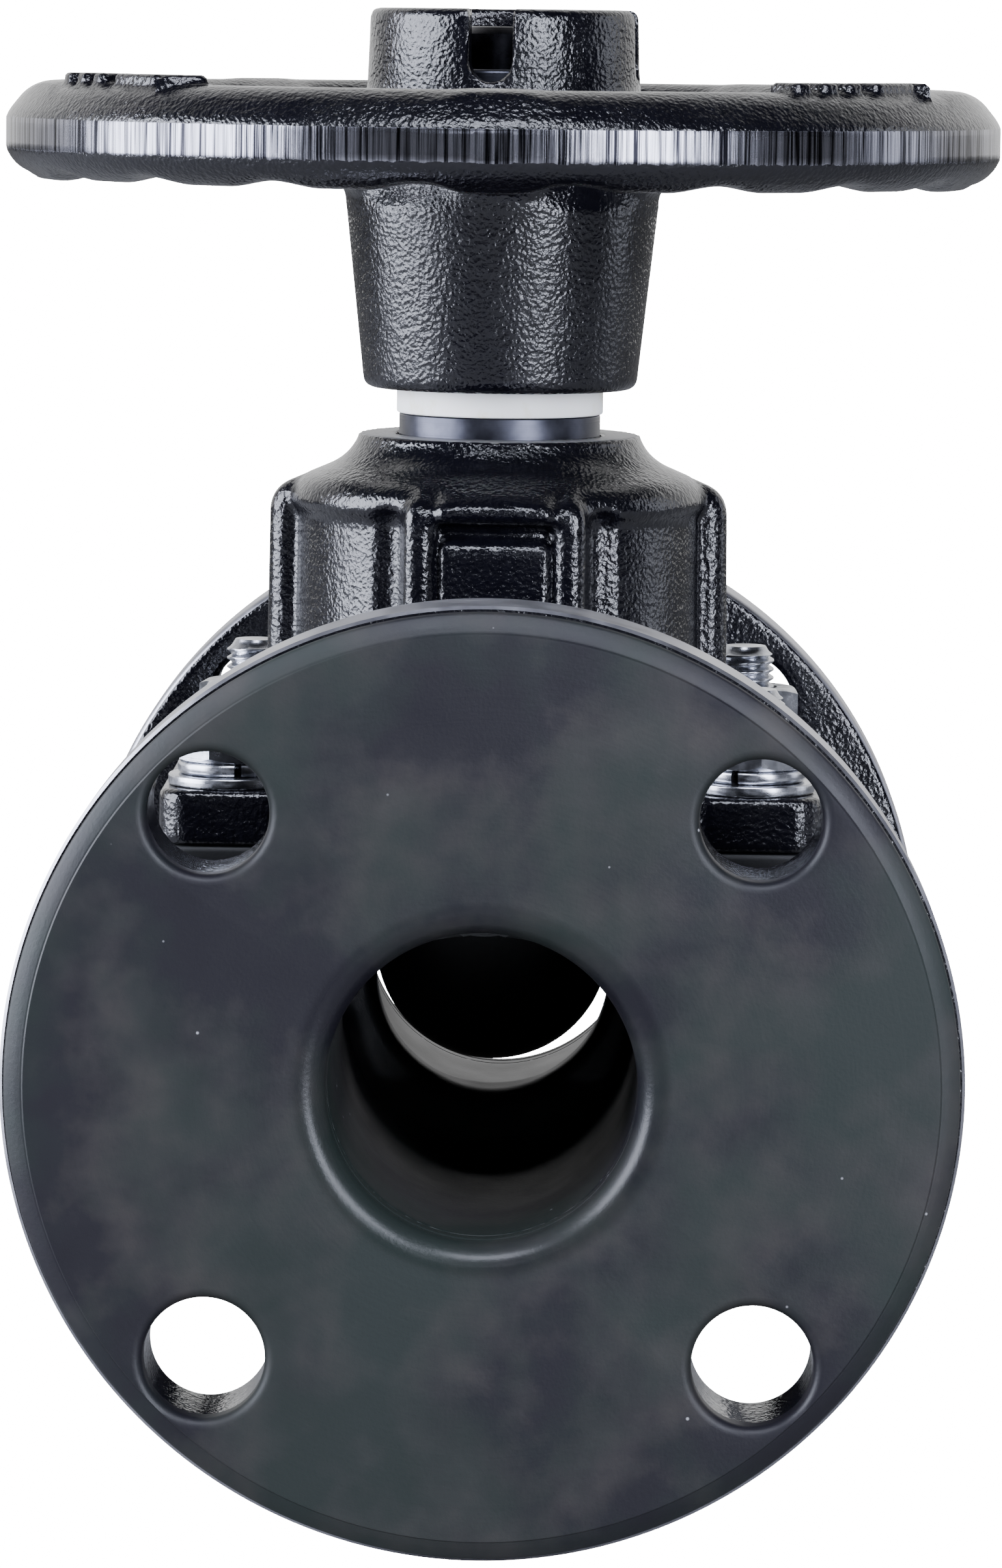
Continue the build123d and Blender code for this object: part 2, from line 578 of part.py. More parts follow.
# ---------------------------------------------------------------- handwheel
with BuildPart() as handwheel:
    with BuildSketch(Plane(origin=(0, mid_y, 0), x_dir=(1, 0, 0), z_dir=(0, -1, 0))):
        with BuildLine():
            Polyline(
                (SLEEVE_TOP_D / 2, hub_foot_z),
                (HUB_BOTTOM_D / 2, hub_foot_z),
                (HUB_WIDE_D / 2, HUB_WIDE_Z),
                (HUB_CUP_BASE_D / 2, HUB_CUP_BASE_Z),
                (HUB_CUP_TOP_D / 2, HUB_TOP_Z),
                (HUB_CUP_BORE_D / 2, HUB_TOP_Z),
                (HUB_CUP_BORE_D / 2, cup_floor_z),
                (SLEEVE_TOP_D / 2, cup_floor_z),
                close=True,
            )
        make_face()
    revolve(axis=Axis((0, mid_y, 0), (0, 0, 1)))
    with BuildSketch(Plane(origin=(0, mid_y, 0), x_dir=(1, 0, 0), z_dir=(0, -1, 0))):
        with Locations((WHEEL_D / 2 - RIM_WIDTH / 2, RIM_Z)):
            RectangleRounded(RIM_WIDTH, RIM_HEIGHT, RIM_CORNER_R)
    revolve(axis=Axis((0, mid_y, 0), (0, 0, 1)))
    with Locations((0, mid_y, RIM_Z)):
        with PolarLocations(spoke_mid_r, SPOKE_COUNT, SPOKE_ANGLE):
            Box(spoke_length, SPOKE_WIDTH, SPOKE_HEIGHT)
    with Locations((0, mid_y, RIM_Z - RIM_HEIGHT / 2 - GRIP_D / 2 + GRIP_DEPTH)):
        with PolarLocations(WHEEL_D / 2, GRIP_COUNT, SPOKE_ANGLE + 180 / GRIP_COUNT):
            Cylinder(GRIP_D / 2, 2 * RIM_WIDTH, rotation=(0, 90, 0), mode=Mode.SUBTRACT)
    with Locations((0, mid_y, HUB_TOP_Z - CUP_SLOT_DEPTH / 2)):
        for slot_angle in CUP_SLOT_ANGLES:
            with PolarLocations(HUB_CUP_BORE_D / 2 + slot_wall / 2, 1, slot_angle):
                Box(2 * slot_wall, CUP_SLOT_WIDTH, CUP_SLOT_DEPTH, mode=Mode.SUBTRACT)
    with BuildSketch(spindle_plane(key_z)):
        with Locations((0, key_y)):
            Rectangle(KEY_SIZE, KEY_SIZE)
    extrude(amount=cup_floor_z - key_z, mode=Mode.SUBTRACT)
handwheel.part.label = "handwheel"

# ---------------------------------------------------------------- spindle and compressor
with BuildPart() as spindle:
    with BuildSketch(spindle_plane(SPINDLE_TONGUE_Z)):
        Circle(SPINDLE_D / 2)
    extrude(amount=SPINDLE_TOP_Z - SPINDLE_TONGUE_Z)
    chamfer(spindle.edges().group_by(Axis.Z)[-1], SPINDLE_CHAMFER)
    with BuildSketch(spindle_plane(SPINDLE_FOOT_Z)):
        Circle(SPINDLE_TONGUE_D / 2)
    extrude(amount=SPINDLE_TONGUE_Z - SPINDLE_FOOT_Z)
    with BuildSketch(flow_plane(0)):
        with Locations((0, pin_z)):
            Circle(PIN_D / 2)
    extrude(amount=FACE_TO_FACE, mode=Mode.SUBTRACT)
spindle.part.label = "spindle"

with BuildPart() as compressor:
    with BuildSketch(flow_plane(mid_y)):
        add(saddle_face(compressor_arc_r, arc_z, COMPRESSOR_ARM_HALF, bonnet_foot_z))
    extrude(amount=COMPRESSOR_HALF_Y, both=True)
    with BuildSketch(spindle_plane(bonnet_foot_z)):
        Rectangle(2 * COMPRESSOR_ARM_HALF, 2 * COMPRESSOR_HALF_Y)
    extrude(amount=COMPRESSOR_TOP_Z - bonnet_foot_z)
    with BuildSketch(spindle_plane(compressor_mid_z)):
        Circle(COMPRESSOR_BOSS_D / 2)
    extrude(amount=COMPRESSOR_TOP_Z - compressor_mid_z)
    with BuildSketch(spindle_plane(SPINDLE_FOOT_Z)):
        Circle(SPINDLE_TONGUE_D / 2)
    extrude(amount=COMPRESSOR_TOP_Z - SPINDLE_FOOT_Z, mode=Mode.SUBTRACT)
    with BuildSketch(spindle_plane(compressor_low_z)):
        Circle(INSERT_D / 2)
    extrude(amount=INSERT_DEPTH, mode=Mode.SUBTRACT)
    with BuildSketch(flow_plane(0)):
        with Locations((0, pin_z)):
            Circle(PIN_D / 2)
    extrude(amount=FACE_TO_FACE, mode=Mode.SUBTRACT)
compressor.part.label = "compressor"

with BuildPart() as compressor_pin:
    with BuildSketch(flow_plane(mid_y)):
        with Locations((0, pin_z)):
            Circle(PIN_D / 2)
    extrude(amount=COMPRESSOR_BOSS_D / 2 - PIN_RECESS, both=True)
compressor_pin.part.label = "compressor_pin"

with BuildPart() as diaphragm_insert:
    with BuildSketch(spindle_plane(insert_head_z)):
        Circle(INSERT_HEAD_D / 2)
    extrude(amount=INSERT_HEAD_THICKNESS)
    with BuildSketch(spindle_plane(insert_head_z)):
        Circle(INSERT_D / 2)
    extrude(amount=compressor_low_z + INSERT_DEPTH - insert_head_z)
diaphragm_insert.part.label = "diaphragm_insert"

pieces = [
    body_casting, body_lining, diaphragm, bonnet, bonnet_studs, bonnet_washers, bonnet_spring_washers,
    bonnet_nuts,
    upper_thrust_washer, lower_thrust_washer, bore_retaining_ring, sleeve_seal,
    drive_sleeve, spindle_seal, hub_ring, drive_key, wheel_washer, wheel_retaining_ring, handwheel,
    spindle, compressor, compressor_pin, diaphragm_insert,
]
for piece in pieces:
    export_step(piece.part, f"parts/{piece.part.label}.step")
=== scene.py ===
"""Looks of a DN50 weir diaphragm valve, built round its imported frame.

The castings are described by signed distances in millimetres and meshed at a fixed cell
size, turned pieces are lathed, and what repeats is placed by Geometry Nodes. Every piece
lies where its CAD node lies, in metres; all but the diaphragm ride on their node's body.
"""
import json
import logging
import math
from dataclasses import dataclass
from enum import Enum
from typing import Callable, Sequence

import bmesh
import bpy
import numpy as np
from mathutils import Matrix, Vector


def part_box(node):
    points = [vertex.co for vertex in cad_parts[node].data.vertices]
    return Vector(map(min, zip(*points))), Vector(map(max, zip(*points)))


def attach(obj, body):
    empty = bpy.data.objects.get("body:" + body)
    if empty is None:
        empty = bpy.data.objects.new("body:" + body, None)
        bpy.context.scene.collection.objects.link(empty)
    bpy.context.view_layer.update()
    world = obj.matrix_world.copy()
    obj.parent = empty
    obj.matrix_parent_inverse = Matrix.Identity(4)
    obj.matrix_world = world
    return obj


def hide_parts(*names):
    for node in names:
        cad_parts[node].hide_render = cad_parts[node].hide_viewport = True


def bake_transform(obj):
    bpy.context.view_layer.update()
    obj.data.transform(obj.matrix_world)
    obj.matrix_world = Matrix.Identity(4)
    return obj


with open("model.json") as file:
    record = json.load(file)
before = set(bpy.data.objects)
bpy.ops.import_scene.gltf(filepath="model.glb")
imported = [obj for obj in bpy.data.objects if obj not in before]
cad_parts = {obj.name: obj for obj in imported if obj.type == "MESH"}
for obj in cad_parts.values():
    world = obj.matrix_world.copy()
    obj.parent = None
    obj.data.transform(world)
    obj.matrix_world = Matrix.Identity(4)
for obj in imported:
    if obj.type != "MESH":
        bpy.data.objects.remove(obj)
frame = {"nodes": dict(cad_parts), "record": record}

import openvdb
from mathutils import Matrix, Vector

log = logging.getLogger("diaphragm_valve")

MM = 0.001
TURN = 2.0 * math.pi
ORIGIN = (0.0, 0.0, 0.0)
CAST_EDGE = math.radians(50)
DIAPHRAGM_THICKNESS = 5.0
Field = Callable[[np.ndarray, np.ndarray, np.ndarray], np.ndarray]


class Body(Enum):
    """Bodies of the frame that pieces ride on."""

    VALVE = "valve_body"
    WHEEL = "wheel_group"
    SPINDLE = "spindle_group"


class Slot(Enum):
    """Material slots of the record."""

    CAST_ENAMEL = "cast_enamel"
    WHEEL_ENAMEL = "wheel_enamel"
    RUBBER_LINING = "rubber_lining"
    RUBBER_DIAPHRAGM = "rubber_diaphragm"
    ZINC = "zinc_plate"
    SATIN_STEEL = "satin_steel"
    NYLON = "white_nylon"
    TURNED_STEEL = "turned_steel"


# ------------------------------------------------------------------ the frame in millimetres
def node_box(name: str) -> tuple[np.ndarray, np.ndarray]:
    """Corners of a CAD node.

    Args:
        name: The node's name.

    Returns:
        Lowest and highest corner, in millimetres.
    """
    low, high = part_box(name)
    return np.array(low) / MM, np.array(high) / MM


def mount_dims(name: str) -> dict[str, float]:
    """Stated dimensions of one of the record's mounts, in millimetres."""
    return next(m["dims"] for m in frame["record"]["mounts"] if m["name"] == name)


@dataclass(frozen=True)
class Datum:
    """Places that several sub-assemblies share, in millimetres, read from the frame."""

    mid_y: float
    flange_r: float
    bolt_circle_r: float
    bolt_hole_r: float
    half_length: float
    metal_half_length: float
    joint_z: float

    @classmethod
    def from_frame(cls) -> "Datum":
        """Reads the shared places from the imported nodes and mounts."""
        lining_low, lining_high = node_box("body_lining")
        casting_low, casting_high = node_box("body_casting")
        bonnet_low, _ = node_box("bonnet")
        bolts = mount_dims("inlet_bolts")
        return cls(
            mid_y=float(lining_low[1] + lining_high[1]) / 2,
            flange_r=float(lining_high[0]),
            bolt_circle_r=bolts["pcd_mm"] / 2,
            bolt_hole_r=bolts["hole_r_mm"],
            half_length=float(lining_high[1] - lining_low[1]) / 2,
            metal_half_length=float(casting_high[1] - casting_low[1]) / 2,
            joint_z=float(bonnet_low[2]) - DIAPHRAGM_THICKNESS,
        )


# ------------------------------------------------------------------ signed distances
def smooth_min(a: np.ndarray, b: np.ndarray, blend: float) -> np.ndarray:
    """Union of two forms with a fillet.

    Args:
        a: Distances to the first form.
        b: Distances to the second form.
        blend: Size of the fillet, in millimetres.

    Returns:
        Distances to the filleted union.
    """
    share = np.clip(0.5 + 0.5 * (b - a) / blend, 0.0, 1.0)
    return b * (1.0 - share) + a * share - blend * share * (1.0 - share)


def smooth_max(a: np.ndarray, b: np.ndarray, blend: float) -> np.ndarray:
    """Intersection of two forms with its edge rounded by about the blend size."""
    return -smooth_min(-a, -b, blend)


def round_box(dx: np.ndarray, dz: np.ndarray, half_x: float, half_z: float, corner: float) -> np.ndarray:
    """Flat distance to a rectangle with round corners, centred on dx = dz = 0."""
    qx = np.abs(dx) - (half_x - corner)
    qz = np.abs(dz) - (half_z - corner)
    outside = np.hypot(np.maximum(qx, 0), np.maximum(qz, 0))
    return outside + np.minimum(np.maximum(qx, qz), 0) - corner


def slab(z: np.ndarray, low: float, high: float) -> np.ndarray:
    """Distance to the layer between two levels."""
    return np.maximum(low - z, z - high)


def tapered_bar(
    u: np.ndarray, v: np.ndarray, a: tuple[float, float], ra: float, b: tuple[float, float], rb: float
) -> np.ndarray:
    """Flat distance to two circles and the tangents that join them.

    Args:
        u: First coordinate.
        v: Second coordinate.
        a: Centre of the first circle.
        ra: Its radius.
        b: Centre of the second circle.
        rb: Its radius.

    Returns:
        Distances in the plane.
    """
    bu, bv = b[0] - a[0], b[1] - a[1]
    length2 = bu * bu + bv * bv
    step = ra - rb
    a2 = length2 - step * step
    pu, pv = u - a[0], v - a[1]
    along = pu * bu + pv * bv
    past = along - length2
    x2 = (pu * length2 - bu * along) ** 2 + (pv * length2 - bv * along) ** 2
    y2 = along * along * length2
    z2 = past * past * length2
    k = np.sign(step) * step * step * x2
    side = (np.sqrt(x2 * a2 / length2) + along * step) / length2 - ra
    end_b = np.sqrt(x2 + z2) / length2 - rb
    end_a = np.sqrt(x2 + y2) / length2 - ra
    return np.where(np.sign(past) * a2 * z2 > k, end_b, np.where(np.sign(along) * a2 * y2 < k, end_a, side))


def repeat_angle(x: np.ndarray, y: np.ndarray, count: int, first: float) -> tuple[np.ndarray, np.ndarray]:
    """Folds the plane into one of several equal sectors.

    Args:
        x: First coordinate.
        y: Second coordinate.
        count: How many sectors there are.
        first: Angle of the middle of one sector, in radians.

    Returns:
        Distance outwards along the sector's middle line, and sideways from it.
    """
    pitch = TURN / count
    angle = np.arctan2(y, x) - first
    angle = (angle + pitch / 2) % pitch - pitch / 2
    r = np.hypot(x, y)
    return r * np.cos(angle), r * np.sin(angle)


def mesh_from_field(
    name: str, form: Field, low: Sequence[float], high: Sequence[float], cell: float
) -> bpy.types.Object:
    """Turns a signed-distance form into a closed mesh.

    Args:
        name: Name of the new piece.
        form: Distance function of x, y and z in millimetres, negative inside.
        low: Lowest corner of the space to search, in millimetres.
        high: Highest corner of that space.
        cell: Cell size, in millimetres.

    Returns:
        The new object, with its points drawn onto the form's exact surface.
    """
    axes = [np.arange(a, b + cell, cell, dtype=np.float32) for a, b in zip(low, high)]
    x, y, z = np.meshgrid(*axes, indexing="ij", sparse=True)
    shape = tuple(len(axis) for axis in axes)
    values = np.array(np.broadcast_to(form(x, y, z), shape), dtype=np.float32)
    grid = openvdb.FloatGrid(float(3 * cell))
    grid.copyFromArray(np.clip(values, -3 * cell, 3 * cell))
    points, quads = grid.convertToQuads(0.0)
    points = points.astype(np.float64) * cell + np.array([axis[0] for axis in axes], dtype=np.float64)
    points = draw_to_surface(points, form, cell)
    a, b, c = (points[quads[:, i]] for i in range(3))
    d = points[quads[:, 3]]
    volume = np.einsum("ij,ij->i", a, np.cross(b, c)).sum() + np.einsum("ij,ij->i", a, np.cross(c, d)).sum()
    if volume < 0:
        quads = quads[:, ::-1]
    return object_from_arrays(name, points * MM, quads)


def draw_to_surface(points: np.ndarray, form: Field, cell: float) -> np.ndarray:
    """Moves points onto the zero surface of a form along its gradient.

    Args:
        points: Places in millimetres, one row each.
        form: The distance function.
        cell: Cell size, which limits how far a point may move.

    Returns:
        The moved places.
    """
    h = 0.08 * cell
    for _ in range(3):
        here = form(*points.T)
        slope = np.empty_like(points)
        for axis in range(3):
            shift = np.zeros(3)
            shift[axis] = h
            ahead, behind = points + shift, points - shift
            rise = form(*ahead.T) - form(*behind.T)
            slope[:, axis] = rise / (2 * h)
        steep = np.maximum((slope**2).sum(1), 0.25)
        move = -slope * (here / steep)[:, None]
        length = np.linalg.norm(move, axis=1, keepdims=True)
        points = points + move * np.minimum(1.0, 0.6 * cell / np.maximum(length, 1e-9))
    return points


# ------------------------------------------------------------------ mesh helpers
def object_from_arrays(name: str, points: np.ndarray, faces: Sequence[Sequence[int]]) -> bpy.types.Object:
    """Makes a smooth-shaded mesh object in metres from points and faces."""
    mesh = bpy.data.meshes.new(name)
    mesh.from_pydata([tuple(p) for p in np.asarray(points)], [], [tuple(int(i) for i in f) for f in faces])
    mesh.update()
    mesh.shade_smooth()
    obj = bpy.data.objects.new(name, mesh)
    bpy.context.scene.collection.objects.link(obj)
    return obj


def arc_points(
    centre: tuple[float, float], radius: float, start: float, end: float, steps: int = 6
) -> list[tuple[float, float]]:
    """Points along an arc in a section plane, angles in degrees."""
    angles = np.radians(np.linspace(start, end, steps + 1))
    return [(centre[0] + radius * math.cos(a), centre[1] + radius * math.sin(a)) for a in angles]


def lathe(
    name: str,
    section: Sequence[tuple[float, float]],
    origin: Sequence[float],
    axis: str = "Z",
    segments: int = 192,
) -> bpy.types.Object:
    """Revolves a closed section.

    Args:
        name: Name of the new piece.
        section: Corners as (radius, distance along the axis), in millimetres, in order.
        origin: A point on the axis, in millimetres.
        axis: "Z" or "Y".
        segments: How many sides the revolved piece has.

    Returns:
        The closed piece, with its faces outwards and its crisp edges marked sharp.
    """
    radii = np.array([p[0] for p in section])
    along = np.array([p[1] for p in section])
    angles = np.arange(segments) * TURN / segments
    ring = np.stack([np.cos(angles), np.sin(angles)], 1)
    count = len(section)
    points = np.empty((segments, count, 3))
    flat = ring[:, None, :] * radii[None, :, None]
    if axis == "Z":
        points[..., :2] = flat
        points[..., 2] = along
    else:
        points[..., 0] = flat[..., 0]
        points[..., 2] = flat[..., 1]
        points[..., 1] = along
    points = points.reshape(-1, 3) + np.array(origin)
    faces = []
    for i in range(segments):
        j = (i + 1) % segments
        for k in range(count):
            m = (k + 1) % count
            faces.append((i * count + k, j * count + k, j * count + m, i * count + m))
    obj = object_from_arrays(name, points * MM, faces)
    outward_faces(obj)
    return obj


def outward_faces(obj: bpy.types.Object, crease: float = 30.0) -> None:
    """Merges doubles, turns faces outwards and marks edges sharper than the crease angle, in degrees."""
    work = bmesh.new()
    work.from_mesh(obj.data)
    bmesh.ops.remove_doubles(work, verts=work.verts, dist=1e-7)
    bmesh.ops.recalc_face_normals(work, faces=work.faces)
    work.to_mesh(obj.data)
    work.free()
    obj.data.shade_smooth()
    obj.data.set_sharp_from_angle(angle=math.radians(crease))


def apply_modifiers(obj: bpy.types.Object) -> None:
    """Replaces an object's mesh by what its modifiers make of it, and removes them."""
    bpy.context.view_layer.update()
    evaluated = obj.evaluated_get(bpy.context.evaluated_depsgraph_get())
    mesh = bpy.data.meshes.new_from_object(evaluated)
    obj.modifiers.clear()
    old = obj.data
    obj.data = mesh
    bpy.data.meshes.remove(old)


def cut(obj: bpy.types.Object, tools: Sequence[bpy.types.Object], operation: str = "DIFFERENCE") -> None:
    """Cuts tools from an object, or keeps what they share with it, and deletes the tools."""
    for tool in tools:
        boolean = obj.modifiers.new("cut", "BOOLEAN")
        boolean.operation = operation
        boolean.solver = "EXACT"
        boolean.object = tool
        apply_modifiers(obj)
        bpy.data.objects.remove(tool)


def bolt_hole_tools(datum: Datum, mouth_y: float, depth: float, flare: float) -> list[bpy.types.Object]:
    """Four cutters on the flange's bolt circle, flared where they enter the metal or rubber.

    Args:
        datum: Shared places, with the bolt circle and hole size.
        mouth_y: Station along the flow of the face with the flared mouths.
        depth: How far the holes run from that face; negative runs against the flow.
        flare: Radius of the round at each mouth.

    Returns:
        The cutters.
    """
    way = math.copysign(1.0, depth)
    radius = datum.bolt_hole_r
    mouth = [(r, mouth_y + way * d) for r, d in arc_points((radius + flare, flare), flare, 270, 180, 6)]
    past = mouth_y - way * 1.0
    end = mouth_y + depth
    section = [(0.001, past), (radius + flare, past), *mouth, (radius, end), (0.001, end)]
    tools = []
    for quarter in range(4):
        angle = TURN * (quarter + 0.5) / 4
        x = datum.bolt_circle_r * math.cos(angle)
        z = datum.bolt_circle_r * math.sin(angle)
        tools.append(lathe(f"bolt_hole_tool_{quarter}", section, (x, 0.0, z), axis="Y", segments=96))
    return tools


# ------------------------------------------------------------------ finishes
def linear(hex_colour: str) -> tuple[float, float, float, float]:
    """Turns an sRGB hex colour such as "#1a1a20" into linear red, green, blue and alpha."""
    channels = []
    for i in (1, 3, 5):
        value = int(hex_colour[i : i + 2], 16) / 255
        channels.append(value / 12.92 if value <= 0.04045 else ((value + 0.055) / 1.055) ** 2.4)
    return (*channels, 1.0)


def add_node(tree: bpy.types.NodeTree, kind: str, inputs: dict | None = None, **settings) -> bpy.types.Node:
    """Adds a node with its settings and links.

    Args:
        tree: The tree it joins.
        kind: The node's type name.
        inputs: Sockets by name or number, each with a value or another node's output.
        settings: The node's own properties.

    Returns:
        The new node.
    """
    made = tree.nodes.new(kind)
    for name, value in settings.items():
        setattr(made, name, value)
    for key, value in (inputs or {}).items():
        socket = made.inputs[key]
        if isinstance(value, bpy.types.NodeSocket):
            tree.links.new(value, socket)
        else:
            socket.default_value = value
    return made


def new_material(name: str) -> tuple[bpy.types.Material, bpy.types.NodeTree, bpy.types.Node]:
    """An empty node material with its shader in place."""
    material = bpy.data.materials.new(name)
    material.use_nodes = True
    tree = material.node_tree
    tree.nodes.clear()
    shader = tree.nodes.new("ShaderNodeBsdfPrincipled")
    output = tree.nodes.new("ShaderNodeOutputMaterial")
    tree.links.new(shader.outputs["BSDF"], output.inputs["Surface"])
    return material, tree, shader


def per_mm(size: float) -> float:
    """Texture scale on Object coordinates, in metres, for a pattern of this size in millimetres."""
    return 1.0 / (size * MM)


@dataclass(frozen=True)
class CastEnamel:
    """Semi-gloss black epoxy enamel, air-dried over a sand-cast iron skin.

    The sand grain telegraphs through the film, so highlights break into small leathery
    cells, and the film pools a little between them.
    """

    name: str = "black_enamel_on_cast_iron"
    deep: str = "#030306"
    worn: str = "#0a0a10"
    roughness: float = 0.16
    grain_mm: float = 0.8
    pebble_mm: float = 1.5
    height_mm: float = 0.12

    def build(self) -> bpy.types.Material:
        """Makes the material."""
        material, tree, shader = new_material(self.name)
        self.dress(tree, shader)
        return material

    def dress(self, tree: bpy.types.NodeTree, shader: bpy.types.Node) -> dict[str, bpy.types.NodeSocket]:
        """Adds the enamel's pattern to a shader.

        Args:
            tree: The material's tree.
            shader: Its Principled shader.

        Returns:
            The colour, roughness and bump outputs, for finishes that mix with it.
        """
        place = add_node(tree, "ShaderNodeTexCoord").outputs["Object"]
        warp = add_node(tree, "ShaderNodeTexNoise", {"Vector": place, "Scale": per_mm(4.0), "Detail": 2.0})
        bent = add_node(
            tree,
            "ShaderNodeMix",
            {"Factor": 0.0012, "A": place, "B": warp.outputs["Color"]},
            data_type="VECTOR",
        )
        cells = add_node(
            tree,
            "ShaderNodeTexVoronoi",
            {"Vector": bent.outputs["Result"], "Scale": per_mm(self.grain_mm), "Smoothness": 0.35},
            feature="SMOOTH_F1",
        )
        grain = add_node(
            tree,
            "ShaderNodeTexNoise",
            {"Vector": place, "Scale": per_mm(self.grain_mm * 0.6), "Detail": 2.0, "Roughness": 0.5},
        )
        pebbles = add_node(
            tree, "ShaderNodeTexNoise", {"Vector": place, "Scale": per_mm(self.pebble_mm), "Detail": 1.0}
        )
        first = add_node(
            tree, "ShaderNodeMath", {0: cells.outputs["Distance"], 1: grain.outputs["Fac"]}, operation="ADD"
        )
        relief = add_node(
            tree, "ShaderNodeMath", {0: first.outputs[0], 1: pebbles.outputs["Fac"]}, operation="ADD"
        )
        patches = add_node(
            tree,
            "ShaderNodeTexNoise",
            {"Vector": place, "Scale": per_mm(22.0), "Detail": 2.0},
        )
        calm = add_node(
            tree,
            "ShaderNodeMapRange",
            {
                "Value": patches.outputs["Fac"],
                "From Min": 0.3,
                "From Max": 0.7,
                "To Min": 0.55,
                "To Max": 1.0,
            },
        )
        bump = add_node(
            tree,
            "ShaderNodeBump",
            {
                "Height": relief.outputs[0],
                "Strength": calm.outputs["Result"],
                "Distance": self.height_mm * MM,
            },
        )
        colour = add_node(
            tree,
            "ShaderNodeMix",
            {"Factor": pebbles.outputs["Fac"], "A": linear(self.deep), "B": linear(self.worn)},
            data_type="RGBA",
        )
        polish = add_node(
            tree,
            "ShaderNodeMapRange",
            {
                "Value": patches.outputs["Fac"],
                "From Min": 0.3,
                "From Max": 0.7,
                "To Min": self.roughness - 0.05,
                "To Max": self.roughness + 0.07,
            },
        )
        tree.links.new(colour.outputs["Result"], shader.inputs["Base Color"])
        tree.links.new(polish.outputs["Result"], shader.inputs["Roughness"])
        tree.links.new(bump.outputs["Normal"], shader.inputs["Normal"])
        return {
            "place": place,
            "colour": colour.outputs["Result"],
            "roughness": polish.outputs["Result"],
            "normal": bump.outputs["Normal"],
        }


@dataclass(frozen=True)
class GroundBand(CastEnamel):
    """Enamel with a band ground back to bright iron round the wheel's rim.

    The grinding runs across the rim, so the bare band is streaked from edge to edge; the
    streaks carry painted shade in their grooves and a painted highlight on their ridges,
    and the enamel ends in a slightly ragged line.
    """

    name: str = "wheel_enamel_with_ground_rim"
    centre_y: float = 0.0
    band_r: float = 82.43
    streak_mm: float = 0.42
    # painted shade for the streaks' grooves and painted highlight for their ridges
    painted_groove_shade: str = "#141418"
    painted_ridge_highlight: str = "#8e8e96"

    def build(self) -> bpy.types.Material:
        """Makes the material."""
        material, tree, shader = new_material(self.name)
        base = self.dress(tree, shader)
        split = add_node(tree, "ShaderNodeSeparateXYZ", {"Vector": base["place"]})
        across = add_node(
            tree, "ShaderNodeMath", {0: split.outputs["Y"], 1: self.centre_y * MM}, operation="SUBTRACT"
        )
        flat = add_node(tree, "ShaderNodeCombineXYZ", {"X": split.outputs["X"], "Y": across.outputs[0]})
        radius = add_node(tree, "ShaderNodeVectorMath", {0: flat.outputs[0]}, operation="LENGTH")
        ragged = add_node(
            tree,
            "ShaderNodeTexNoise",
            {"Vector": base["place"], "Scale": per_mm(0.9), "Detail": 2.0},
        )
        edge = add_node(
            tree,
            "ShaderNodeMath",
            {0: ragged.outputs["Fac"], 1: 0.12 * MM, 2: radius.outputs["Value"]},
            operation="MULTIPLY_ADD",
        )
        bare = add_node(
            tree,
            "ShaderNodeMapRange",
            {
                "Value": edge.outputs[0],
                "From Min": (self.band_r + 0.045) * MM,
                "From Max": (self.band_r + 0.075) * MM,
            },
        )
        behind = add_node(tree, "ShaderNodeMath", {0: across.outputs[0], 1: -1.0}, operation="MULTIPLY")
        angle = add_node(
            tree, "ShaderNodeMath", {0: split.outputs["X"], 1: behind.outputs[0]}, operation="ARCTAN2"
        )
        steps = add_node(
            tree,
            "ShaderNodeMath",
            {0: angle.outputs[0], 1: self.band_r / self.streak_mm},
            operation="MULTIPLY",
        )
        height = add_node(tree, "ShaderNodeMath", {0: split.outputs["Z"], 1: 28.0}, operation="MULTIPLY")
        streak_at = add_node(tree, "ShaderNodeCombineXYZ", {"X": steps.outputs[0], "Y": height.outputs[0]})
        streaks = add_node(
            tree,
            "ShaderNodeTexNoise",
            {"Vector": streak_at.outputs[0], "Scale": 0.62, "Detail": 3.0, "Roughness": 0.75},
            noise_dimensions="2D",
        )
        sharp = add_node(
            tree,
            "ShaderNodeMapRange",
            {"Value": streaks.outputs["Fac"], "From Min": 0.38, "From Max": 0.60},
        )
        # bare band colour: painted shade in the grooves and painted highlight on the ridges, following the
        # streak height
        iron = add_node(
            tree,
            "ShaderNodeMix",
            {"Factor": sharp.outputs["Result"], "A": linear(self.painted_groove_shade), "B": linear(self.painted_ridge_highlight)},
            data_type="RGBA",
        )
        colour = add_node(
            tree,
            "ShaderNodeMix",
            {"Factor": bare.outputs["Result"], "A": base["colour"], "B": iron.outputs["Result"]},
            data_type="RGBA",
        )
        roughness = add_node(
            tree, "ShaderNodeMix", {"Factor": bare.outputs["Result"], "A": base["roughness"], "B": 0.24}
        )
        grooves = add_node(
            tree, "ShaderNodeBump", {"Height": streaks.outputs["Fac"], "Strength": 0.6, "Distance": 0.05 * MM}
        )
        normal = add_node(
            tree,
            "ShaderNodeMix",
            {"Factor": bare.outputs["Result"], "A": base["normal"], "B": grooves.outputs["Normal"]},
            data_type="VECTOR",
        )
        tree.links.new(colour.outputs["Result"], shader.inputs["Base Color"])
        tree.links.new(roughness.outputs["Result"], shader.inputs["Roughness"])
        tree.links.new(bare.outputs["Result"], shader.inputs["Metallic"])
        tree.links.new(normal.outputs["Result"], shader.inputs["Normal"])
        return material


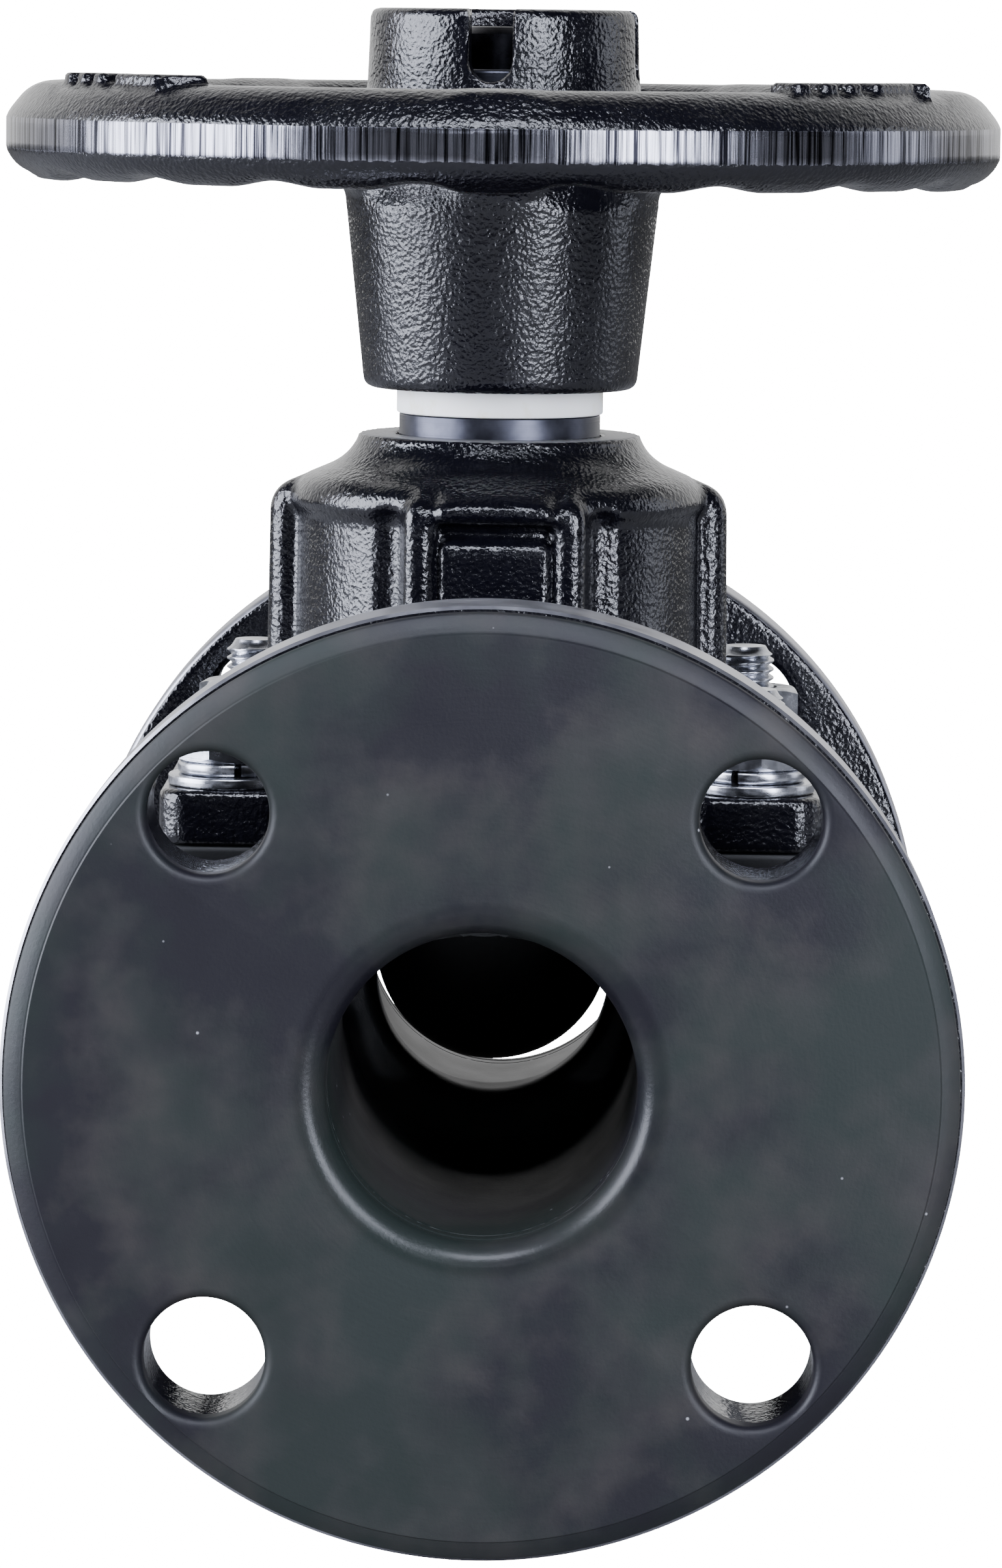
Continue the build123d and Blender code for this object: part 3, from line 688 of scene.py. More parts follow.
@dataclass(frozen=True)
class FacedTop(CastEnamel):
    """Enamel whose upper face, above a stated height, is turned bright."""

    name: str = "bonnet_enamel_with_faced_top"
    face_z: float = 95.78
    bright: str = "#8a8a8c"

    def build(self) -> bpy.types.Material:
        """Makes the material."""
        material, tree, shader = new_material(self.name)
        base = self.dress(tree, shader)
        split = add_node(tree, "ShaderNodeSeparateXYZ", {"Vector": base["place"]})
        bare = add_node(
            tree,
            "ShaderNodeMapRange",
            {
                "Value": split.outputs["Z"],
                "From Min": self.face_z * MM,
                "From Max": (self.face_z + 0.05) * MM,
            },
        )
        colour = add_node(
            tree,
            "ShaderNodeMix",
            {"Factor": bare.outputs["Result"], "A": base["colour"], "B": linear(self.bright)},
            data_type="RGBA",
        )
        roughness = add_node(
            tree, "ShaderNodeMix", {"Factor": bare.outputs["Result"], "A": base["roughness"], "B": 0.42}
        )
        tree.links.new(colour.outputs["Result"], shader.inputs["Base Color"])
        tree.links.new(roughness.outputs["Result"], shader.inputs["Roughness"])
        tree.links.new(bare.outputs["Result"], shader.inputs["Metallic"])
        return material


@dataclass(frozen=True)
class MouldedRubber:
    """Hard black rubber pressed in a machined mould.

    Bloom gives it cloudy grey, blue and green patches, the mould's turning marks show as
    faint rings, and dust sits on it as pale specks. The bore's mouth is rubbed smoother.
    """

    name: str = "moulded_hard_rubber"
    grey: str = "#2a2827"
    blue: str = "#111016"
    green: str = "#151c1a"
    roughness: float = 0.48
    gloss: float = 0.30
    rubbed_r: float = 27.2
    ring_mm: float = 0.9
    dusty: bool = True
    dust: str = "#b9b9bd"

    def build(self) -> bpy.types.Material:
        """Makes the material."""
        material, tree, shader = new_material(self.name)
        shader.inputs["Specular IOR Level"].default_value = self.gloss
        place = add_node(tree, "ShaderNodeTexCoord").outputs["Object"]
        split = add_node(tree, "ShaderNodeSeparateXYZ", {"Vector": place})
        clouds = add_node(
            tree,
            "ShaderNodeTexNoise",
            {"Vector": place, "Scale": per_mm(42.0), "Detail": 6.0, "Roughness": 0.6},
        )
        tint = add_node(
            tree,
            "ShaderNodeTexNoise",
            {"Vector": place, "Scale": per_mm(38.0), "Detail": 4.0, "Roughness": 0.6},
        )
        cloud_mix = add_node(
            tree, "ShaderNodeMapRange", {"Value": clouds.outputs["Fac"], "From Min": 0.44, "From Max": 0.58}
        )
        tint_mix = add_node(
            tree, "ShaderNodeMapRange", {"Value": tint.outputs["Fac"], "From Min": 0.42, "From Max": 0.62}
        )
        first = add_node(
            tree,
            "ShaderNodeMix",
            {"Factor": cloud_mix.outputs["Result"], "A": linear(self.blue), "B": linear(self.grey)},
            data_type="RGBA",
        )
        second = add_node(
            tree,
            "ShaderNodeMix",
            {"Factor": tint_mix.outputs["Result"], "A": first.outputs["Result"], "B": linear(self.green)},
            data_type="RGBA",
        )
        colour = second.outputs["Result"]
        if self.dusty:
            specks = add_node(
                tree,
                "ShaderNodeTexVoronoi",
                {"Vector": place, "Scale": per_mm(9.0)},
                feature="F1",
            )
            dot = add_node(
                tree,
                "ShaderNodeMapRange",
                {"Value": specks.outputs["Distance"], "From Min": 0.035, "From Max": 0.015, "To Max": 0.55},
            )
            colour = add_node(
                tree,
                "ShaderNodeMix",
                {"Factor": dot.outputs["Result"], "A": colour, "B": linear(self.dust)},
                data_type="RGBA",
            ).outputs["Result"]
        flat = add_node(tree, "ShaderNodeCombineXYZ", {"X": split.outputs["X"], "Z": split.outputs["Z"]})
        radius = add_node(tree, "ShaderNodeVectorMath", {0: flat.outputs[0]}, operation="LENGTH")
        turned = add_node(
            tree,
            "ShaderNodeMath",
            {0: radius.outputs["Value"], 1: per_mm(self.ring_mm)},
            operation="MULTIPLY",
        )
        rings = add_node(
            tree,
            "ShaderNodeTexNoise",
            {"W": turned.outputs[0], "Scale": 1.0, "Detail": 2.0},
            noise_dimensions="1D",
        )
        fine = add_node(
            tree,
            "ShaderNodeTexNoise",
            {"Vector": place, "Scale": per_mm(0.7), "Detail": 3.0, "Roughness": 0.6},
        )
        sway = add_node(tree, "ShaderNodeTexNoise", {"Vector": place, "Scale": per_mm(16.0), "Detail": 1.0})
        relief = add_node(
            tree,
            "ShaderNodeMath",
            {0: sway.outputs["Fac"], 1: 5.0, 2: fine.outputs["Fac"]},
            operation="MULTIPLY_ADD",
        )
        ring_relief = add_node(
            tree,
            "ShaderNodeMath",
            {0: rings.outputs["Fac"], 1: 0.35, 2: relief.outputs[0]},
            operation="MULTIPLY_ADD",
        )
        bump = add_node(
            tree,
            "ShaderNodeBump",
            {"Height": ring_relief.outputs[0], "Strength": 0.35, "Distance": 0.10 * MM},
        )
        polish = add_node(
            tree,
            "ShaderNodeMapRange",
            {
                "Value": clouds.outputs["Fac"],
                "From Min": 0.35,
                "From Max": 0.65,
                "To Min": self.roughness - 0.05,
                "To Max": self.roughness + 0.10,
            },
        )
        off_lip = add_node(
            tree, "ShaderNodeMath", {0: radius.outputs["Value"], 1: self.rubbed_r * MM}, operation="SUBTRACT"
        )
        away = add_node(tree, "ShaderNodeMath", {0: off_lip.outputs[0]}, operation="ABSOLUTE")
        rubbed = add_node(
            tree,
            "ShaderNodeMapRange",
            {
                "Value": away.outputs[0],
                "From Min": 1.2 * MM,
                "From Max": 2.6 * MM,
                "To Min": 0.6,
                "To Max": 1.0,
            },
        )
        dull = add_node(
            tree,
            "ShaderNodeMath",
            {0: polish.outputs["Result"], 1: rubbed.outputs["Result"]},
            operation="MULTIPLY",
        )
        tree.links.new(colour, shader.inputs["Base Color"])
        tree.links.new(dull.outputs[0], shader.inputs["Roughness"])
        tree.links.new(bump.outputs["Normal"], shader.inputs["Normal"])
        return material


@dataclass(frozen=True)
class BrightMetal:
    """A bare or plated metal, turned or tumbled.

    Turning leaves fine rings round an upright axis; plating leaves cloudy patches.
    """

    name: str
    light: str
    dark: str
    roughness: float
    spread: float = 0.10
    lines_mm: float = 0.25
    line_height_mm: float = 0.01
    cloud_mm: float = 5.0

    def build(self) -> bpy.types.Material:
        """Makes the material."""
        material, tree, shader = new_material(self.name)
        shader.inputs["Metallic"].default_value = 1.0
        place = add_node(tree, "ShaderNodeTexCoord").outputs["Object"]
        clouds = add_node(
            tree,
            "ShaderNodeTexNoise",
            {"Vector": place, "Scale": per_mm(self.cloud_mm), "Detail": 4.0, "Roughness": 0.6},
        )
        mix = add_node(
            tree, "ShaderNodeMapRange", {"Value": clouds.outputs["Fac"], "From Min": 0.35, "From Max": 0.65}
        )
        colour = add_node(
            tree,
            "ShaderNodeMix",
            {"Factor": mix.outputs["Result"], "A": linear(self.dark), "B": linear(self.light)},
            data_type="RGBA",
        )
        split = add_node(tree, "ShaderNodeSeparateXYZ", {"Vector": place})
        turned = add_node(
            tree, "ShaderNodeMath", {0: split.outputs["Z"], 1: per_mm(self.lines_mm)}, operation="MULTIPLY"
        )
        lines = add_node(
            tree,
            "ShaderNodeTexNoise",
            {"W": turned.outputs[0], "Scale": 1.0, "Detail": 2.0},
            noise_dimensions="1D",
        )
        bump = add_node(
            tree,
            "ShaderNodeBump",
            {"Height": lines.outputs["Fac"], "Strength": 0.6, "Distance": self.line_height_mm * MM},
        )
        polish = add_node(
            tree,
            "ShaderNodeMapRange",
            {
                "Value": clouds.outputs["Fac"],
                "From Min": 0.3,
                "From Max": 0.7,
                "To Min": self.roughness,
                "To Max": self.roughness + self.spread,
            },
        )
        tree.links.new(colour.outputs["Result"], shader.inputs["Base Color"])
        tree.links.new(polish.outputs["Result"], shader.inputs["Roughness"])
        tree.links.new(bump.outputs["Normal"], shader.inputs["Normal"])
        return material


@dataclass(frozen=True)
class StainedNylon:
    """Off-white cast nylon, turned, with faint yellow grease stains."""

    name: str = "stained_white_nylon"
    clean: str = "#ecece8"
    stain: str = "#d8d4b8"

    def build(self) -> bpy.types.Material:
        """Makes the material."""
        material, tree, shader = new_material(self.name)
        shader.inputs["Subsurface Weight"].default_value = 0.08
        shader.inputs["Subsurface Scale"].default_value = 1.0 * MM
        place = add_node(tree, "ShaderNodeTexCoord").outputs["Object"]
        blots = add_node(
            tree,
            "ShaderNodeTexNoise",
            {"Vector": place, "Scale": per_mm(7.0), "Detail": 4.0, "Roughness": 0.65},
        )
        mix = add_node(
            tree,
            "ShaderNodeMapRange",
            {"Value": blots.outputs["Fac"], "From Min": 0.52, "From Max": 0.72, "To Max": 0.8},
        )
        colour = add_node(
            tree,
            "ShaderNodeMix",
            {"Factor": mix.outputs["Result"], "A": linear(self.clean), "B": linear(self.stain)},
            data_type="RGBA",
        )
        polish = add_node(
            tree,
            "ShaderNodeMapRange",
            {"Value": blots.outputs["Fac"], "From Min": 0.3, "From Max": 0.7, "To Min": 0.42, "To Max": 0.55},
        )
        tree.links.new(colour.outputs["Result"], shader.inputs["Base Color"])
        tree.links.new(polish.outputs["Result"], shader.inputs["Roughness"])
        return material


class Finishes:
    """Every finish of the valve, built once."""

    def __init__(self, datum: Datum) -> None:
        """Builds the materials.

        Args:
            datum: Shared places; the ground rim is centred on the spindle.
        """
        self.enamel = CastEnamel().build()
        self.wheel = GroundBand(centre_y=datum.mid_y).build()
        self.bonnet = FacedTop().build()
        self.flange_rim = BrightMetal("machined_flange_rim", "#a0a0a6", "#8c8c93", 0.30, cloud_mm=6.0).build()
        self.rubber = MouldedRubber().build()
        self.diaphragm = MouldedRubber(
            "moulded_diaphragm_rubber", "#0e0e10", "#0a0a0d", "#0c0e0e", dusty=False
        ).build()
        self.zinc = BrightMetal("bright_zinc_plate", "#c2c4ca", "#8d8f95", 0.20, cloud_mm=3.0).build()
        self.sleeve = BrightMetal(
            "satin_turned_steel", "#46474f", "#36373e", 0.30, line_height_mm=0.02
        ).build()
        self.spindle = BrightMetal("oiled_spindle_steel", "#2e2e33", "#1c1c20", 0.22).build()
        self.spring = BrightMetal("phosphated_spring_steel", "#3a3a3e", "#242428", 0.42).build()
        self.bronze = BrightMetal("turned_bronze", "#a9823f", "#7d5c2a", 0.30).build()
        self.iron = BrightMetal("bare_grey_iron", "#5b5a58", "#3c3b3a", 0.55).build()
        self.seal = MouldedRubber("nitrile_seal", "#161617", "#101012", "#131414", dusty=False).build()
        self.nylon = StainedNylon().build()


def settle(
    obj: bpy.types.Object,
    body: Body,
    nodes: Sequence[str],
    material: bpy.types.Material | None,
) -> None:
    """Gives a finished piece its body, stand-in nodes and material.

    Args:
        obj: The piece.
        body: The body it rides on.
        nodes: CAD nodes that it stands for.
        material: Its material, or None where its faces already have theirs.
    """
    if material is not None:
        obj.data.materials.clear()
        obj.data.materials.append(material)
    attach(obj, body.value)
    if nodes:
        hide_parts(*nodes)
    log.info("%s: %d faces on %s", obj.name, len(obj.data.polygons), body.value)


# ------------------------------------------------------------------ sub-assemblies
@dataclass
class Passage:
    """The lined flow passage: two bores, the chamber and the weir between them."""

    bore_r: float = 24.25
    lining: float = 3.75
    arc_r: float = 19.5
    arc_z: float = 5.1
    weir_half: float = 5.5
    weir_slope: float = 0.75
    trough_spread: float = 0.263
    chamber_x: float = 29.0
    chamber_y: float = 33.0
    roof_far: float = 75.0
    roof_near: float = 30.0
    roof_z: float = 18.5

    def trough(self, x: np.ndarray, z: np.ndarray, lift: float = 0.0) -> np.ndarray:
        """Flat distance to the U-shaped saddle over the weir, raised by a lift."""
        above = z - self.arc_z - lift
        round_part = np.hypot(x, above) - self.arc_r
        sides = (np.abs(x) - self.arc_r - np.maximum(above, 0) * self.trough_spread) * 0.967
        return np.where(above < 0, round_part, sides)

    def field(self, x: np.ndarray, y: np.ndarray, z: np.ndarray) -> np.ndarray:
        """Distance to the passage's surface, negative where the fluid is; y from the spindle axis."""
        span = self.roof_far - self.roof_near
        near = np.clip((self.roof_far - np.abs(y)) / span, 0, 1)
        roof = self.bore_r + (self.roof_z - self.bore_r) * near * near * (3 - 2 * near)
        bore = smooth_max(np.hypot(x, z) - self.bore_r, z - roof, 5.0)
        oval = (np.sqrt((x / self.chamber_x) ** 2 + (y / self.chamber_y) ** 2 + 1e-9) - 1.0) * self.chamber_x
        chamber = smooth_max(oval, -z, 6.0)
        space = smooth_min(bore, chamber, 5.0)
        crest = self.arc_z - self.arc_r
        thickness = self.weir_half + np.maximum(crest + 2.0 - z, 0) * self.weir_slope
        wall = (np.abs(y) - thickness) * 0.85
        weir = smooth_max(wall, -self.trough(x, z), 3.5)
        return smooth_max(space, -weir, 4.0)


@dataclass
class ValveBody:
    """The cast body with its two flanges and its rubber lining."""

    datum: Datum
    passage: Passage
    neck_r: float = 33.5
    flange_back: float = 75.1
    root_r: float = 6.0
    pad_half_x: float = 53.5
    pad_half_y: float = 48.5
    pad_corner: float = 5.0
    pad_thickness: float = 9.0
    stud_x: float = 42.5
    stud_y: float = 37.5
    boss_r: float = 9.5
    lip_r: float = 4.2
    bevel_width: float = 3.8
    bevel_depth: float = 1.7
    face_thickness: float = 4.0
    bowl_x: float = 37.5
    bowl_y: float = 41.5
    stud_hole_r: float = 5.5

    def pad_outline(self, x: np.ndarray, y: np.ndarray) -> np.ndarray:
        """Flat distance to the plan of the flange under the bonnet, waisted between its lugs."""
        outline = round_box(x, y, self.pad_half_x, self.pad_half_y, self.pad_corner)
        waist = round_box(x, np.abs(y) - self.pad_half_y - 10.0, self.stud_x - 10.0, 15.0, 5.0)
        return smooth_max(outline, -waist, 4.0)

    def casting_field(self, x: np.ndarray, y: np.ndarray, z: np.ndarray) -> np.ndarray:
        """Distance to the middle of the body casting, without its flanges."""
        y = y - self.datum.mid_y
        joint = self.datum.joint_z
        near = np.clip((72.0 - np.abs(y)) / 24.0, 0, 1)
        roof = self.neck_r + (joint - self.neck_r) * near * near * (3 - 2 * near)
        tube = smooth_max(np.hypot(x, z) - self.neck_r, z - roof, 2.0)
        oval = (np.sqrt((x / self.bowl_x) ** 2 + (y / self.bowl_y) ** 2 + 1e-9) - 1.0) * self.bowl_x
        bowl = smooth_max(oval + np.maximum(8.0 - z, 0) * 0.25, -8.0 - z, 8.0)
        solid = smooth_min(tube, bowl, 7.0)
        pad = smooth_max(self.pad_outline(x, y), slab(z, joint - self.pad_thickness, joint), 1.6)
        solid = smooth_min(solid, pad, 4.0)
        to_boss = np.hypot(np.abs(x) - self.stud_x, np.abs(y) - self.stud_y) - self.boss_r
        boss = smooth_max(to_boss, slab(z, joint - 17.0, joint - 2.0), 2.5)
        solid = smooth_min(solid, boss, 3.0)
        solid = smooth_max(solid, z - joint, 0.6)
        hollow = self.passage.field(x, y, z) - self.passage.lining
        solid = np.maximum(solid, -hollow)
        stud = np.maximum(np.hypot(np.abs(x) - self.stud_x, np.abs(y) - self.stud_y) - 5.0, joint - 14.0 - z)
        solid = np.maximum(solid, -stud)
        return np.maximum(solid, np.abs(y) - (self.flange_back - self.root_r))

    def lining_field(self, x: np.ndarray, y: np.ndarray, z: np.ndarray) -> np.ndarray:
        """Distance to the lining of the passage, between the two end faces."""
        y = y - self.datum.mid_y
        inner = self.passage.field(x, y, z)
        shell = np.maximum(inner - self.passage.lining + 0.02, -inner)
        shell = np.maximum(shell, z - self.datum.joint_z)
        return np.maximum(shell, np.abs(y) - (self.datum.half_length - self.face_thickness - 5.0))

    def flange_section(self) -> list[tuple[float, float]]:
        """Section of the inlet flange casting, as radius and distance from the inlet face."""
        face = self.datum.half_length - self.datum.metal_half_length
        back = self.datum.half_length - self.flange_back
        inner = self.passage.bore_r + self.passage.lining
        root = back + self.root_r
        rim = self.datum.flange_r
        return [
            (inner, face),
            (rim - 0.5, face),
            (rim, face + 0.5),
            *arc_points((rim - 1.8, back - 1.8), 1.8, 0, 90, 5),
            *arc_points((self.neck_r + self.root_r, root), self.root_r, 270, 180, 8),
            (inner, root),
        ]

    def face_section(self) -> list[tuple[float, float]]:
        """Section of the inlet end of the lining: rim bevel, face, flared lip and first bore."""
        rim = self.datum.flange_r
        thick = self.face_thickness
        bore = self.passage.bore_r
        depth = thick + 5.0
        lip = self.lip_r
        flare = arc_points((bore + lip, lip), lip, 270, 180, 10)
        return [
            (rim - 0.85, thick - 0.02),
            *arc_points((rim - 1.6, self.bevel_depth + 0.75), 0.75, 10, -62, 4),
            (rim - self.bevel_width + 0.3, 0.35),
            (rim - self.bevel_width, 0.30),
            (rim - self.bevel_width - 0.25, 0.02),
            (rim - self.bevel_width - 0.6, 0.0),
            *flare,
            (bore, lip + 1.2),
            (bore + 0.25, lip + 1.6),
            (bore + 0.25, lip + 1.9),
            (bore, lip + 2.3),
            (bore, depth),
            (bore + self.passage.lining - 0.05, depth),
            (bore + self.passage.lining - 0.05, thick - 0.01),
        ]

    def end_piece(
        self,
        name: str,
        section: Sequence[tuple[float, float]],
        inlet: bool,
        mouth: float,
        depth: float,
        flare: float,
    ) -> bpy.types.Object:
        """Lathes one end piece and cuts its bolt holes.

        Args:
            name: Name of the piece.
            section: Section at the inlet end.
            inlet: Whether it is the inlet end; the outlet's is turned round.
            mouth: Station of the bolt holes' flared mouths, from the end face.
            depth: How far the holes run from there; negative runs towards the end face.
            flare: Radius of the round at each mouth, in millimetres.

        Returns:
            The piece.
        """
        length = 2 * self.datum.half_length
        if not inlet:
            section = [(r, length - y) for r, y in section]
            mouth, depth = length - mouth, -depth
        obj = lathe(name, section, ORIGIN, axis="Y", segments=240)
        cut(obj, bolt_hole_tools(self.datum, mouth, depth, flare))
        outward_faces(obj)
        return obj

    def build(self, finishes: Finishes) -> None:
        """Makes the body's pieces."""
        reach = self.flange_back - self.root_r + 1.5
        low = (-self.pad_half_x - 2, self.datum.mid_y - reach, -self.neck_r - 2)
        high = (self.pad_half_x + 2, self.datum.mid_y + reach, self.datum.joint_z + 9)
        centre = mesh_from_field("body_centre_casting", self.casting_field, low, high, 0.95)
        centre.data.set_sharp_from_angle(angle=CAST_EDGE)
        settle(centre, Body.VALVE, ["body_casting"], finishes.enamel)
        for inlet, end in ((True, "inlet"), (False, "outlet")):
            back = self.datum.half_length - self.flange_back
            flange = self.end_piece(f"{end}_flange_casting", self.flange_section(), inlet, back, -30.0, 1.2)
            flange.data.materials.append(finishes.enamel)
            flange.data.materials.append(finishes.flange_rim)
            for face in flange.data.polygons:
                reach_r = math.hypot(face.center.x, face.center.z)
                face.material_index = 1 if reach_r > (self.datum.flange_r - 0.6) * MM else 0
            settle(flange, Body.VALVE, ["body_casting"], None)
            face = self.end_piece(f"{end}_lining_face", self.face_section(), inlet, 0.0, 10.0, 1.7)
            settle(face, Body.VALVE, ["body_lining"], finishes.rubber)
        reach = self.datum.half_length - self.face_thickness - 3.0
        r = self.passage.bore_r + self.passage.lining + 8
        weir = mesh_from_field(
            "weir_lining",
            self.lining_field,
            (-r, self.datum.mid_y - reach, -r),
            (r, self.datum.mid_y + reach, self.datum.joint_z + 2),
            0.95,
        )
        weir.data.set_sharp_from_angle(angle=CAST_EDGE)
        settle(weir, Body.VALVE, ["body_lining"], finishes.rubber)


@dataclass
class Bonnet:
    """The fluted bonnet that carries the wheel's bearing over the diaphragm."""

    datum: Datum
    body: ValveBody
    foot_z: float
    pad_top_z: float
    top_z: float
    neck_r: float = 23.2
    cone_r: float = 37.2
    cone_z: float = 86.8
    cone_slope: float = 0.43
    wall_r: float = 33.4
    skirt_r: float = 34.7
    skirt_z: float = 84.2
    fin_reach: float = 38.2
    fin_half: float = 3.5
    nose_half_x: float = 10.2
    nose_reach: float = 37.8
    nose_low_z: float = 83.4
    column_x: float = 12.2
    column_half: float = 2.6
    column_reach: float = 35.8
    pad_half_x: float = 9.0
    pad_reach: float = 35.0
    pad_z: float = 80.6
    recess_reach: float = 33.6
    flute_x: float = 18.2
    flute_y: float = 30.9
    flute_r: float = 3.6
    flute_top_z: float = 81.8
    cavity_r: float = 27.0
    cavity_top_z: float = 71.8
    bearing_r: float = 21.06
    bearing_top_z: float = 88.0
    sleeve_hole_r: float = 17.25
    seat_r: float = 10.6

    def field(self, x: np.ndarray, y: np.ndarray, z: np.ndarray) -> np.ndarray:
        """Distance to the bonnet, negative inside."""
        y = y - self.datum.mid_y
        ax, ay = np.abs(x), np.abs(y)
        r = np.hypot(x, y)
        cone = (z - self.cone_z + (r - self.cone_r) * self.cone_slope) / math.hypot(1.0, self.cone_slope)
        foot = self.foot_z - z
        draft = (84.0 - z) * 0.012
        wall = np.maximum(r - self.wall_r - draft, foot)
        skirt = smooth_max(r - self.skirt_r, self.skirt_z - z, 1.8)
        solid = smooth_min(wall, skirt, 2.6)
        fin = np.maximum(round_box(x, y, self.fin_reach, self.fin_half, 3.2) - draft, foot)
        solid = smooth_min(solid, fin, 1.2)
        side = np.hypot(ax - self.flute_x, ay - self.flute_y)
        flute = np.hypot(side, np.maximum(z - self.flute_top_z, 0)) - self.flute_r
        solid = smooth_max(solid, -flute, 1.4)
        recess = round_box(x, ay - 45.0, 13.0, 45.0 - self.recess_reach, 1.0)
        recess = smooth_max(recess, z - self.nose_low_z, 2.0)
        solid = smooth_max(solid, -recess, 2.4)
        column = np.maximum(round_box(ax - self.column_x, y, self.column_half, self.column_reach, 2.3), foot)
        solid = smooth_min(solid, column, 1.6)
        nose = smooth_max(round_box(x, y, self.nose_half_x, self.nose_reach, 2.2), self.nose_low_z - z, 3.4)
        solid = smooth_min(solid, nose, 2.4)
        pad = smooth_max(round_box(x, y, self.pad_half_x, self.pad_reach, 1.0), z - self.pad_z, 2.6)
        solid = smooth_min(solid, np.maximum(pad, foot), 1.2)
        solid = smooth_max(solid, cone, 3.4)
        neck = smooth_max(r - self.neck_r - np.maximum(95.0 - z, 0) * 0.10, slab(z, 80.0, self.top_z), 0.8)
        solid = smooth_min(solid, neck, 5.0)
        plate = smooth_max(self.body.pad_outline(x, y), slab(z, self.foot_z, self.pad_top_z), 1.4)
        solid = smooth_min(solid, plate, 4.0)
        solid = np.maximum(solid, np.maximum(foot, z - self.top_z))
        cavity = smooth_max(r - self.cavity_r, z - self.cavity_top_z, 4.0)
        solid = smooth_max(solid, -cavity, 1.0)
        solid = np.maximum(solid, -np.maximum(r - self.bearing_r, z - self.bearing_top_z))
        solid = np.maximum(solid, -(r - self.sleeve_hole_r))
        to_stud = np.hypot(ax - self.body.stud_x, ay - self.body.stud_y)
        seat = np.maximum(to_stud - self.seat_r, self.pad_top_z - 0.02 - z)
        solid = np.maximum(solid, -seat)
        return np.maximum(solid, -np.maximum(to_stud - self.body.stud_hole_r, z - 50.0))

    def build(self, finishes: Finishes) -> None:
        """Makes the bonnet casting."""
        half_x, half_y = self.body.pad_half_x + 2, self.body.pad_half_y + 2
        low = (-half_x, self.datum.mid_y - half_y, self.foot_z - 1.5)
        high = (half_x, self.datum.mid_y + half_y, self.top_z + 1.5)
        obj = mesh_from_field("bonnet_casting", self.field, low, high, 0.7)
        obj.data.set_sharp_from_angle(angle=CAST_EDGE)
        settle(obj, Body.VALVE, ["bonnet"], finishes.bonnet)


